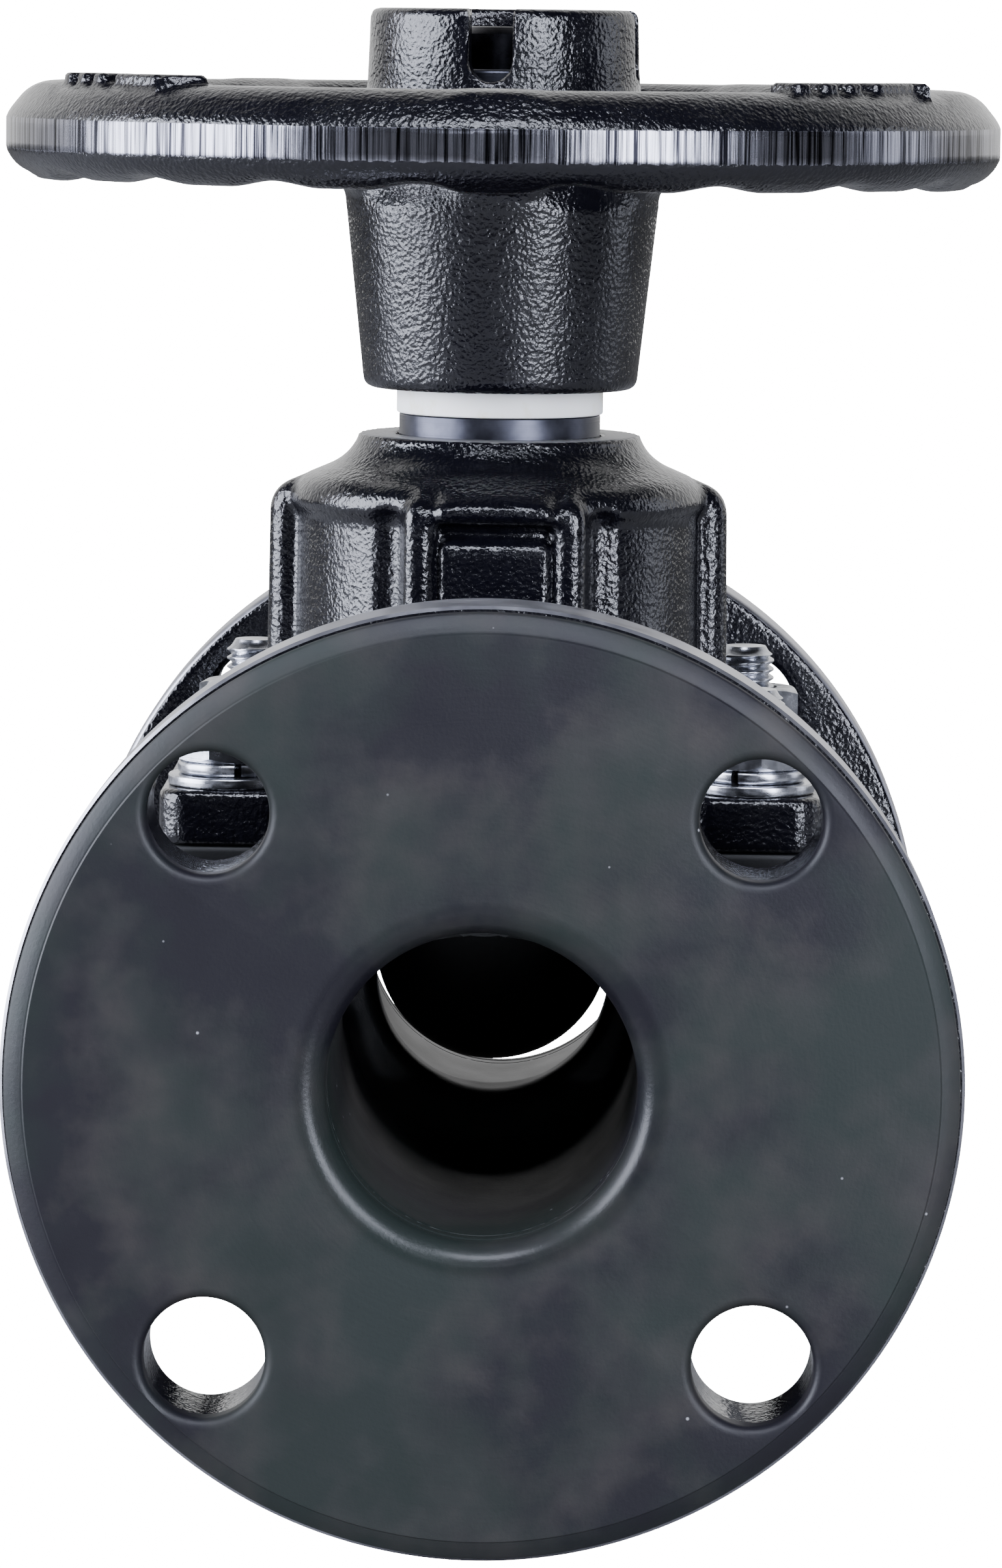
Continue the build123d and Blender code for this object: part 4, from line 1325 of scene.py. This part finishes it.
@dataclass
class Handwheel:
    """The cast handwheel, with its ground rim, cup and generic direction marks."""

    datum: Datum
    land_r: float = 82.5
    lower_ring: tuple[float, float] = (75.8, 145.2)
    lower_r: float = 7.15
    upper_ring: tuple[float, float] = (74.6, 146.6)
    upper_r: float = 7.2
    hub_z: tuple[float, ...] = (103.6, 134.0, 142.0, 153.0, 166.4)
    hub_r: tuple[float, ...] = (22.7, 26.0, 24.6, 22.7, 22.3)
    cup_r: float = 17.0
    cup_floor_z: float = 150.5
    bore_r: float = 14.05
    spoke_count: int = 5
    spoke_half: float = 6.6
    slot_half: float = 3.6
    slot_depth: float = 12.0
    slot_angles: tuple[float, ...] = (-95.0, -5.0, 175.0)
    grip_count: int = 20
    grip_r: float = 13.0
    grip_depth: float = 1.0
    spoke_z: float = 145.6
    mark_r: float = 73.6
    mark_angles: tuple[float, ...] = (-142.0, -38.0)

    def marks(self, x: np.ndarray, y: np.ndarray, z: np.ndarray) -> np.ndarray:
        """Distance to the raised direction arrows on the rim's upper side."""
        r = np.hypot(x, y)
        angle = np.degrees(np.arctan2(y, x))
        result = np.full(np.broadcast(x, y, z).shape, 50.0, dtype=np.float32)
        top = slab(z, 148.0, 155.3)
        for middle in self.mark_angles:
            along = np.radians(angle - middle) * 74.0
            for place, half in ((-17.0, 1.6), (-11.5, 1.6), (-6.0, 1.6), (4.5, 5.5)):
                bar = round_box(r - self.mark_r, along - place, 3.6, half, 0.8)
                result = np.minimum(result, bar)
            head = np.maximum((np.abs(r - self.mark_r) + (along - 17.5) * 0.9) * 0.74, 11.5 - along)
            result = np.minimum(result, head)
        return smooth_max(result, top, 0.9)

    def field(self, x: np.ndarray, y: np.ndarray, z: np.ndarray) -> np.ndarray:
        """Distance to the handwheel, negative inside."""
        y = y - self.datum.mid_y
        r = np.hypot(x, y)
        rim = tapered_bar(r, z + 0 * r, self.lower_ring, self.lower_r, self.upper_ring, self.upper_r)
        _, side = repeat_angle(x, y, self.grip_count, math.radians(-90 + 180 / self.grip_count))
        rim_low = self.lower_ring[1] - self.lower_r
        grip = np.hypot(side, z - (rim_low - self.grip_r + self.grip_depth)) - self.grip_r
        rim = smooth_max(rim, -grip, 1.6)
        hub = (r - np.interp(z, self.hub_z, self.hub_r)) * 0.99
        hub = smooth_max(hub, slab(z, self.hub_z[0], self.hub_z[-1]), 1.8)
        out, side = repeat_angle(x, y, self.spoke_count, math.radians(-90))
        level = self.spoke_z + np.clip((40 - out) / 20, 0, 1) * -2.6
        spoke = round_box(side, z - level, self.spoke_half, 5.6, 3.4)
        spoke = np.maximum(spoke, np.maximum(18.0 - out, out - 76.0))
        solid = smooth_min(hub, spoke, 6.0)
        solid = smooth_min(solid, rim, 4.5)
        solid = smooth_min(solid, self.marks(x, y, z), 0.9)
        solid = np.maximum(solid, r - self.land_r)
        cup = np.maximum(r - self.cup_r, self.cup_floor_z - z)
        solid = smooth_max(solid, -cup, 1.0)
        low = self.hub_z[-1] - self.slot_depth + self.slot_half
        for degrees in self.slot_angles:
            angle = math.radians(degrees)
            out = x * math.cos(angle) + y * math.sin(angle)
            side = y * math.cos(angle) - x * math.sin(angle)
            slot = np.maximum(np.hypot(side, np.minimum(z - low, 0)) - self.slot_half, 8.0 - out)
            solid = smooth_max(solid, -slot, 0.5)
        return np.maximum(solid, -(r - self.bore_r))

    def build(self, finishes: Finishes) -> None:
        """Makes the handwheel casting."""
        half = self.land_r + 1.5
        low = (-half, self.datum.mid_y - half, self.hub_z[0] - 1.5)
        high = (half, self.datum.mid_y + half, self.hub_z[-1] + 1.5)
        obj = mesh_from_field("handwheel_casting", self.field, low, high, 0.78)
        obj.data.set_sharp_from_angle(angle=CAST_EDGE)
        settle(obj, Body.WHEEL, ["handwheel"], finishes.wheel)


@dataclass
class Drive:
    """The turned pieces round the spindle: sleeve, nylon ring and the spindle itself."""

    datum: Datum
    thread_r: float = 8.06
    sleeve_r: float = 16.8
    collar_r: float = 21.0
    collar_rise: float = 8.0
    collar_height: float = 6.0
    keyed_r: float = 14.0
    groove_r: float = 12.4
    stem_r: float = 8.0

    def ring_section(self, name: str, inner_r: float, edge: float) -> list[tuple[float, float]]:
        """Section of a plain turned ring in the place of a CAD node, with rounded edges."""
        low, high = node_box(name)
        outer = float(high[0] - low[0]) / 2
        bottom, top = float(low[2]), float(high[2])
        return [
            (inner_r, bottom),
            *arc_points((outer - edge, bottom + edge), edge, 270, 360, 4),
            *arc_points((outer - edge, top - edge), edge, 0, 90, 4),
            (inner_r, top),
        ]

    def build(self, finishes: Finishes) -> None:
        """Makes the turned pieces."""
        origin = (0.0, self.datum.mid_y, 0.0)
        ring = lathe("nylon_hub_ring", self.ring_section("hub_ring", self.keyed_r, 0.35), origin)
        settle(ring, Body.WHEEL, ["hub_ring"], finishes.nylon)
        low, high = node_box("drive_sleeve")
        bottom, top = float(low[2]), float(high[2])
        ring_z = float(node_box("hub_ring")[0][2])
        collar_z = bottom + self.collar_rise
        collar_top = collar_z + self.collar_height
        sleeve_section = [
            (self.thread_r, bottom),
            (self.sleeve_r, bottom),
            (self.sleeve_r, collar_z),
            (self.collar_r, collar_z),
            (self.collar_r, collar_top),
            (self.sleeve_r, collar_top),
            *arc_points((self.sleeve_r - 0.4, ring_z - 0.4), 0.4, 0, 90, 4),
            (self.keyed_r, ring_z),
            (self.keyed_r, top - 4.0),
            (self.groove_r, top - 4.0),
            (self.groove_r, top - 2.0),
            (self.keyed_r, top - 2.0),
            *arc_points((self.keyed_r - 0.7, top - 0.7), 0.7, 0, 90, 4),
            (self.thread_r, top),
        ]
        sleeve = lathe("turned_drive_sleeve", sleeve_section, origin)
        settle(sleeve, Body.WHEEL, ["drive_sleeve"], finishes.sleeve)
        spindle_low, spindle_high = node_box("spindle")
        top = float(spindle_high[2])
        stem_section = [
            (0.01, 38.0),
            (self.stem_r, 38.0),
            (self.stem_r, top - 1.2),
            (7.0, top - 0.2),
            (6.6, top),
            (2.0, top),
            (1.6, top - 0.8),
            (0.01, top - 1.6),
        ]
        stem = lathe("turned_spindle", stem_section, origin, segments=96)
        tongue = lathe(
            "spindle_tongue_tool",
            [(0.01, float(spindle_low[2])), (6.0, float(spindle_low[2])), (6.0, 40.0), (0.01, 40.0)],
            origin,
            segments=64,
        )
        cut(stem, [tongue], "UNION")
        outward_faces(stem)
        settle(stem, Body.SPINDLE, ["spindle"], finishes.spindle)


@dataclass
class Diaphragm:
    """The rubber diaphragm: a flat rim in the joint and a pouch over the weir."""

    datum: Datum
    body: ValveBody
    thickness: float = DIAPHRAGM_THICKNESS
    lift: float = 5.0
    half_length: float = 30.5
    rise: float = 33.0

    def pouch(self, x: np.ndarray, y: np.ndarray, z: np.ndarray, inset: float) -> np.ndarray:
        """Distance to the pouch's outer form, shrunk by an inset."""
        passage = self.body.passage
        reach = np.clip(np.abs(y) / (self.half_length - inset), 0, 1)
        climb = self.rise * (1 - np.sqrt(np.maximum(1 - reach * reach, 0)))
        trough = passage.trough(x, z - climb, self.lift) + inset
        beyond = np.abs(y) - (self.half_length - inset)
        return smooth_max(trough * 0.8, beyond, 3.0)

    def field(self, x: np.ndarray, y: np.ndarray, z: np.ndarray) -> np.ndarray:
        """Distance to the diaphragm, negative inside."""
        y = y - self.datum.mid_y
        joint, top = self.datum.joint_z, self.datum.joint_z + self.thickness
        outline = self.body.pad_outline(x, y) + 0.4
        plate = smooth_max(outline, slab(z, joint, top), 0.8)
        outer = np.maximum(self.pouch(x, y, z, 0.0), z - top)
        solid = smooth_min(plate, outer, 2.0)
        solid = np.maximum(solid, z - top)
        inner = self.pouch(x, y, z, self.thickness + 0.2)
        solid = smooth_max(solid, -inner, 1.5)
        to_stud = np.hypot(np.abs(x) - self.body.stud_x, np.abs(y) - self.body.stud_y)
        return np.maximum(solid, self.body.stud_hole_r - to_stud)

    def build(self, finishes: Finishes) -> None:
        """Makes the diaphragm sheet in its place and hides the CAD diaphragm."""
        half_x, half_y = self.body.pad_half_x + 1, self.body.pad_half_y + 1
        low = (-half_x, self.datum.mid_y - half_y, -12.0)
        high = (half_x, self.datum.mid_y + half_y, self.datum.joint_z + 6.5)
        obj = mesh_from_field("rubber_diaphragm_sheet", self.field, low, high, 0.9)
        obj.data.materials.append(finishes.diaphragm)
        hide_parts("diaphragm")
        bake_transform(obj)
        log.info("%s: %d faces, bends with the spindle", obj.name, len(obj.data.polygons))


@dataclass
class BonnetBolting:
    """Four studs with their nuts and washers, placed by Geometry Nodes."""

    datum: Datum
    body: ValveBody
    stud_r: float = 5.0
    pitch: float = 1.5
    across_flats: float = 17.0
    washer_r: float = 10.0
    spring_r: float = 8.5
    spring_gap: float = 1.2
    seed: int = 7

    def stud(self) -> bpy.types.Object:
        """One stud about its own axis: plain shank below, rolled thread above."""
        low, high = node_box("bonnet_studs")
        base = float(low[2])
        thread_low = float(node_box("bonnet_washers")[0][2]) - 1.0
        top = float(high[2])
        segments, per_pitch = 48, 8
        rows = [base, thread_low - 0.6]
        rows += list(np.arange(thread_low, top - 1.2, self.pitch / per_pitch))
        rows += [top - 0.9, top - 0.3, top]
        points, faces = [], []
        for z in rows:
            for i in range(segments):
                angle = TURN * i / segments
                phase = (z / self.pitch - i / segments) % 1.0
                ridge = 1.0 - abs(2.0 * phase - 1.0)
                depth = 0.92 * (1.0 - min(1.0, ridge * 1.25))
                radius = self.stud_r - (depth if thread_low <= z <= top - 1.0 else 0.0)
                if z <= thread_low - 0.5:
                    radius = self.stud_r - 0.05
                if z > top - 1.0:
                    radius = self.stud_r - 0.95 - (z - top + 0.9) * 0.6
                points.append((radius * math.cos(angle), radius * math.sin(angle), z))
        for k in range(len(rows) - 1):
            for i in range(segments):
                j = (i + 1) % segments
                a, b = k * segments, (k + 1) * segments
                faces.append((a + i, a + j, b + j, b + i))
        faces.append(tuple(range(segments))[::-1])
        last = (len(rows) - 1) * segments
        faces.append(tuple(last + i for i in range(segments)))
        obj = object_from_arrays("stud_pattern", np.array(points) * MM, faces)
        obj.data.set_sharp_from_angle(angle=math.radians(35))
        return obj

    def nut(self) -> bpy.types.Object:
        """One nut about its own axis, with the corners of both faces turned down."""
        low, high = node_box("bonnet_nuts")
        base, top = float(low[2]), float(high[2])
        corner = self.across_flats / math.sqrt(3)
        hexagon = lathe(
            "nut_pattern",
            [(self.stud_r - 0.5, base), (corner, base), (corner, top), (self.stud_r - 0.5, top)],
            ORIGIN,
            segments=6,
        )
        flat = self.across_flats / 2 - 0.2
        drop = (corner - flat) * math.tan(math.radians(30))
        turned = lathe(
            "nut_turning",
            [
                (0.01, base - 0.001),
                (flat, base - 0.001),
                (corner + 0.3, base + drop + 0.2),
                (corner + 0.3, top - drop - 0.2),
                (flat, top + 0.001),
                (0.01, top + 0.001),
            ],
            ORIGIN,
            segments=96,
        )
        cut(hexagon, [turned], "INTERSECT")
        bore = lathe(
            "nut_bore",
            [
                (0.01, base - 1),
                (self.stud_r + 0.6, base - 1),
                (self.stud_r + 0.6, base),
                (self.stud_r - 0.2, base + 0.8),
                (self.stud_r - 0.2, top - 0.8),
                (self.stud_r + 0.6, top),
                (self.stud_r + 0.6, top + 1),
                (0.01, top + 1),
            ],
            ORIGIN,
            segments=64,
        )
        cut(hexagon, [bore])
        outward_faces(hexagon, 20.0)
        return hexagon

    def washer(self) -> bpy.types.Object:
        """One washer about its own axis, with blanked edges."""
        low, high = node_box("bonnet_washers")
        base, top = float(low[2]), float(high[2])
        edge = 0.35
        section = [
            (self.stud_r + 0.25, base),
            *arc_points((self.washer_r - edge, base + edge), edge, 270, 360, 3),
            *arc_points((self.washer_r - edge, top - edge), edge, 0, 90, 3),
            (self.stud_r + 0.25, top),
        ]
        return lathe("washer_pattern", section, ORIGIN, segments=96)

    def spring_washer(self) -> bpy.types.Object:
        """One split spring washer about its own axis, its cut turned to the inlet side."""
        low, high = node_box("bonnet_spring_washers")
        base, top = float(low[2]), float(high[2])
        edge = 0.8
        ring = [
            (self.stud_r + 0.1, base + 0.2),
            (self.stud_r + 0.3, base),
            *arc_points((self.spring_r - edge, base + edge), edge, 270, 360, 4),
            *arc_points((self.spring_r - edge, top - edge), edge, 0, 90, 4),
            (self.stud_r + 0.3, top),
            (self.stud_r + 0.1, top - 0.2),
        ]
        segments = 96
        half_gap = self.spring_gap / 2 / self.spring_r
        angles = np.linspace(half_gap, TURN - half_gap, segments + 1) - TURN / 4
        points = np.array([(r * math.cos(a), r * math.sin(a), z) for a in angles for r, z in ring])
        count = len(ring)
        faces = [
            (near + k, near + count + k, near + count + (k + 1) % count, near + (k + 1) % count)
            for near in range(0, segments * count, count)
            for k in range(count)
        ]
        faces.append(tuple(range(count))[::-1])
        faces.append(tuple(segments * count + k for k in range(count)))
        obj = object_from_arrays("spring_washer_pattern", points * MM, faces)
        outward_faces(obj)
        return obj

    def tree(self) -> bpy.types.NodeTree:
        """Node tree that copies a pattern to the four stud places and turns each one a little."""
        tree = bpy.data.node_groups.new("four_corner_pattern", "GeometryNodeTree")
        inputs = {
            "Geometry": "Geometry",
            "Pattern": "Object",
            "Pitch X": "Float",
            "Pitch Y": "Float",
            "Centre Y": "Float",
            "Spread": "Float",
            "Seed": "Int",
            "Finish": "Material",
        }
        for name, kind in inputs.items():
            tree.interface.new_socket(name, in_out="INPUT", socket_type=f"NodeSocket{kind}")
        tree.interface.new_socket("Geometry", in_out="OUTPUT", socket_type="NodeSocketGeometry")
        source = tree.nodes.new("NodeGroupInput").outputs
        corners = add_node(
            tree,
            "GeometryNodeMeshGrid",
            {"Size X": source["Pitch X"], "Size Y": source["Pitch Y"], "Vertices X": 2, "Vertices Y": 2},
        )
        shift = add_node(tree, "ShaderNodeCombineXYZ", {"Y": source["Centre Y"]})
        placed = add_node(
            tree, "GeometryNodeSetPosition", {"Geometry": corners.outputs["Mesh"], "Offset": shift.outputs[0]}
        )
        item = add_node(tree, "GeometryNodeObjectInfo", {"Object": source["Pattern"]})
        low = add_node(tree, "ShaderNodeMath", {0: source["Spread"], 1: -1.0}, operation="MULTIPLY")
        turn = add_node(
            tree,
            "FunctionNodeRandomValue",
            {"Min": low.outputs[0], "Max": source["Spread"], "Seed": source["Seed"]},
            data_type="FLOAT",
        )
        angle = next(s for s in turn.outputs if s.type == "VALUE" and s.enabled)
        rotation = add_node(tree, "ShaderNodeCombineXYZ", {"Z": angle})
        copies = add_node(
            tree,
            "GeometryNodeInstanceOnPoints",
            {
                "Points": placed.outputs["Geometry"],
                "Instance": item.outputs["Geometry"],
                "Rotation": rotation.outputs[0],
            },
        )
        real = add_node(tree, "GeometryNodeRealizeInstances", {"Geometry": copies.outputs["Instances"]})
        dressed = add_node(
            tree,
            "GeometryNodeSetMaterial",
            {"Geometry": real.outputs["Geometry"], "Material": source["Finish"]},
        )
        target = tree.nodes.new("NodeGroupOutput")
        tree.links.new(dressed.outputs["Geometry"], target.inputs["Geometry"])
        return tree

    def place(
        self,
        tree: bpy.types.NodeTree,
        name: str,
        node: str,
        pattern: bpy.types.Object,
        spread: float,
        finish: bpy.types.Material,
    ) -> None:
        """Places four copies of a pattern as one piece.

        Args:
            tree: The node tree that copies patterns.
            name: Name of the new piece.
            node: The CAD node that it stands for.
            pattern: The pattern object, removed afterwards.
            spread: Most that a copy is turned either way, in radians.
            finish: The material.
        """
        obj = object_from_arrays(name, np.zeros((1, 3)), [])
        modifier = obj.modifiers.new("four_corners", "NODES")
        modifier.node_group = tree
        values = {
            "Pattern": pattern,
            "Pitch X": 2 * self.body.stud_x * MM,
            "Pitch Y": 2 * self.body.stud_y * MM,
            "Centre Y": self.datum.mid_y * MM,
            "Spread": spread,
            "Seed": self.seed,
            "Finish": finish,
        }
        for item in tree.interface.items_tree:
            if item.item_type == "SOCKET" and item.in_out == "INPUT" and item.name in values:
                modifier[item.identifier] = values[item.name]
        apply_modifiers(obj)
        bpy.data.objects.remove(pattern)
        settle(obj, Body.VALVE, [node], None)

    def build(self, finishes: Finishes) -> None:
        """Makes the studs, nuts and washers."""
        tree = self.tree()
        self.place(tree, "threaded_studs", "bonnet_studs", self.stud(), math.radians(40), finishes.zinc)
        self.place(tree, "hexagon_nuts", "bonnet_nuts", self.nut(), math.radians(27), finishes.zinc)
        spring = self.spring_washer()
        self.place(tree, "spring_washers", "bonnet_spring_washers", spring, math.radians(25), finishes.zinc)
        self.place(tree, "plain_washers", "bonnet_washers", self.washer(), math.radians(20), finishes.zinc)


class HiddenWorks:
    """CAD nodes whose shape is right as it is, given their finishes."""

    def build(self, finishes: Finishes) -> None:
        """Dresses the bearing, seals, key and compressor."""
        choices = {
            "upper_thrust_washer": finishes.bronze,
            "lower_thrust_washer": finishes.bronze,
            "bore_retaining_ring": finishes.spring,
            "wheel_retaining_ring": finishes.spring,
            "wheel_washer": finishes.zinc,
            "drive_key": finishes.spring,
            "sleeve_seal": finishes.seal,
            "spindle_seal": finishes.seal,
            "compressor": finishes.iron,
            "compressor_pin": finishes.spindle,
            "diaphragm_insert": finishes.spindle,
        }
        for name, material in choices.items():
            obj = frame["nodes"][name]
            obj.data.materials.clear()
            obj.data.materials.append(material)
            log.info("%s keeps its CAD shape, in %s", name, material.name)


# ------------------------------------------------------------------ studio
@dataclass(frozen=True)
class Softbox:
    """A plain soft light, placed round the spindle by its bearing from the inlet side."""

    name: str
    bearing: float
    distance: float
    height: float
    width: float
    tall: float
    power: float
    colour: str = "#e3e8f8"

    def build(self, centre: Vector) -> None:
        """Makes the light, turned to the centre and hidden from the camera."""
        light = bpy.data.lights.new(self.name, "AREA")
        light.shape = "RECTANGLE"
        light.size, light.size_y = self.width, self.tall
        light.energy = self.power
        light.color = linear(self.colour)[:3]
        obj = bpy.data.objects.new(self.name, light)
        bpy.context.scene.collection.objects.link(obj)
        angle = math.radians(self.bearing)
        obj.location = centre + Vector(
            (math.sin(angle) * self.distance, -math.cos(angle) * self.distance, self.height)
        )
        obj.rotation_euler = (centre - obj.location).to_track_quat("-Z", "Y").to_euler()
        obj.visible_camera = False


@dataclass
class Studio:
    """Pale floor, soft lights and the camera."""

    datum: Datum
    camera_place: tuple[float, float, float] = (18.4, -999.95, 164.03)
    yaw: float = -0.0159
    pitch: float = 0.11555
    roll: float = 0.01275
    lens: float = 150.47
    sensor: float = 36.0
    seen_strength: float = 20.0
    back_strength: float = 1.5
    front_strength: float = 0.01
    softboxes: tuple[Softbox, ...] = (
        Softbox("left_softbox", -76.0, 1.10, 0.10, 1.00, 1.3, 82.0),
        Softbox("right_softbox", 33.0, 1.15, 0.10, 0.42, 1.3, 38.0),
        Softbox("right_edge_light", 100.0, 1.20, 0.10, 0.40, 1.2, 4.0),
        Softbox("top_softbox", -4.0, 0.70, 0.84, 0.60, 0.40, 13.0),
        Softbox("low_fill", -3.0, 0.95, 0.24, 0.16, 0.10, 0.3),
    )

    def build(self) -> None:
        """Makes the floor, the lights, the world and the camera."""
        self.make_floor()
        centre = Vector((0.0, self.datum.mid_y * MM, 0.06))
        for softbox in self.softboxes:
            softbox.build(centre)
        self.make_world()
        self.make_camera()

    def make_floor(self) -> None:
        """A wide pale floor that the flange rims stand on, burnt out to white where it is seen."""
        size = 6.0
        z = -self.datum.flange_r * MM - 0.0004
        points = np.array([(-size, -size, z), (size, -size, z), (size, size, z), (-size, size, z)])
        floor = object_from_arrays("pale_floor", points, [(0, 1, 2, 3)])
        material, tree, shader = new_material("pale_floor_paint")
        shader.inputs["Base Color"].default_value = linear("#8a8a8a")
        shader.inputs["Roughness"].default_value = 0.9
        seen = add_node(tree, "ShaderNodeLightPath").outputs["Is Camera Ray"]
        glow = add_node(tree, "ShaderNodeMath", {0: seen, 1: self.seen_strength}, operation="MULTIPLY")
        shader.inputs["Emission Color"].default_value = linear("#ffffff")
        tree.links.new(glow.outputs[0], shader.inputs["Emission Strength"])
        floor.data.materials.append(material)

    def make_world(self) -> None:
        """White surroundings to the camera; a white back wall and a dark front for what they light."""
        world = bpy.data.worlds.new("studio_world")
        bpy.context.scene.world = world
        world.use_nodes = True
        tree = world.node_tree
        tree.nodes.clear()
        way = add_node(tree, "ShaderNodeTexCoord").outputs["Generated"]
        split = add_node(tree, "ShaderNodeSeparateXYZ", {"Vector": way})
        behind = add_node(
            tree,
            "ShaderNodeMapRange",
            {
                "Value": split.outputs["Y"],
                "From Min": 0.1,
                "From Max": 0.7,
                "To Min": self.front_strength,
                "To Max": self.back_strength,
            },
        )
        seen = add_node(tree, "ShaderNodeLightPath").outputs["Is Camera Ray"]
        strength = add_node(
            tree,
            "ShaderNodeMix",
            {"Factor": seen, "A": behind.outputs["Result"], "B": self.seen_strength},
        )
        light = add_node(
            tree,
            "ShaderNodeBackground",
            {"Color": linear("#ffffff"), "Strength": strength.outputs["Result"]},
        )
        output = tree.nodes.new("ShaderNodeOutputWorld")
        tree.links.new(light.outputs[0], output.inputs["Surface"])

    def make_camera(self) -> None:
        """The camera, a metre in front of the inlet flange, as high as the wheel's cup."""
        forward = Vector(
            (
                math.sin(self.yaw) * math.cos(self.pitch),
                math.cos(self.yaw) * math.cos(self.pitch),
                -math.sin(self.pitch),
            )
        )
        right = Vector((math.cos(self.yaw), -math.sin(self.yaw), 0.0))
        up = right.cross(forward)
        turned_right = math.cos(self.roll) * right + math.sin(self.roll) * up
        turned_up = -math.sin(self.roll) * right + math.cos(self.roll) * up
        camera = bpy.data.cameras.new("inlet_camera")
        camera.lens = self.lens
        camera.sensor_width = self.sensor
        camera.clip_end = 50.0
        obj = bpy.data.objects.new("inlet_camera", camera)
        bpy.context.scene.collection.objects.link(obj)
        basis = Matrix((turned_right, turned_up, -forward)).transposed().to_4x4()
        obj.matrix_world = Matrix.Translation(Vector(self.camera_place) * MM) @ basis
        bpy.context.scene.camera = obj


def main() -> None:
    """Builds the valve's looks, sub-assembly by sub-assembly, and the studio round it."""
    logging.basicConfig(level=logging.INFO, format="%(name)s %(message)s")
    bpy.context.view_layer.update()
    datum = Datum.from_frame()
    finishes = Finishes(datum)
    Studio(datum).build()
    passage = Passage()
    body = ValveBody(datum, passage)
    body.build(finishes)
    foot_z, pad_top_z = float(node_box("bonnet")[0][2]), float(node_box("bonnet_washers")[0][2])
    Bonnet(datum, body, foot_z, pad_top_z, float(node_box("bonnet")[1][2])).build(finishes)
    Handwheel(datum).build(finishes)
    Drive(datum).build(finishes)
    Diaphragm(datum, body).build(finishes)
    BonnetBolting(datum, body).build(finishes)
    HiddenWorks().build(finishes)


if __name__ == "__main__":
    main()
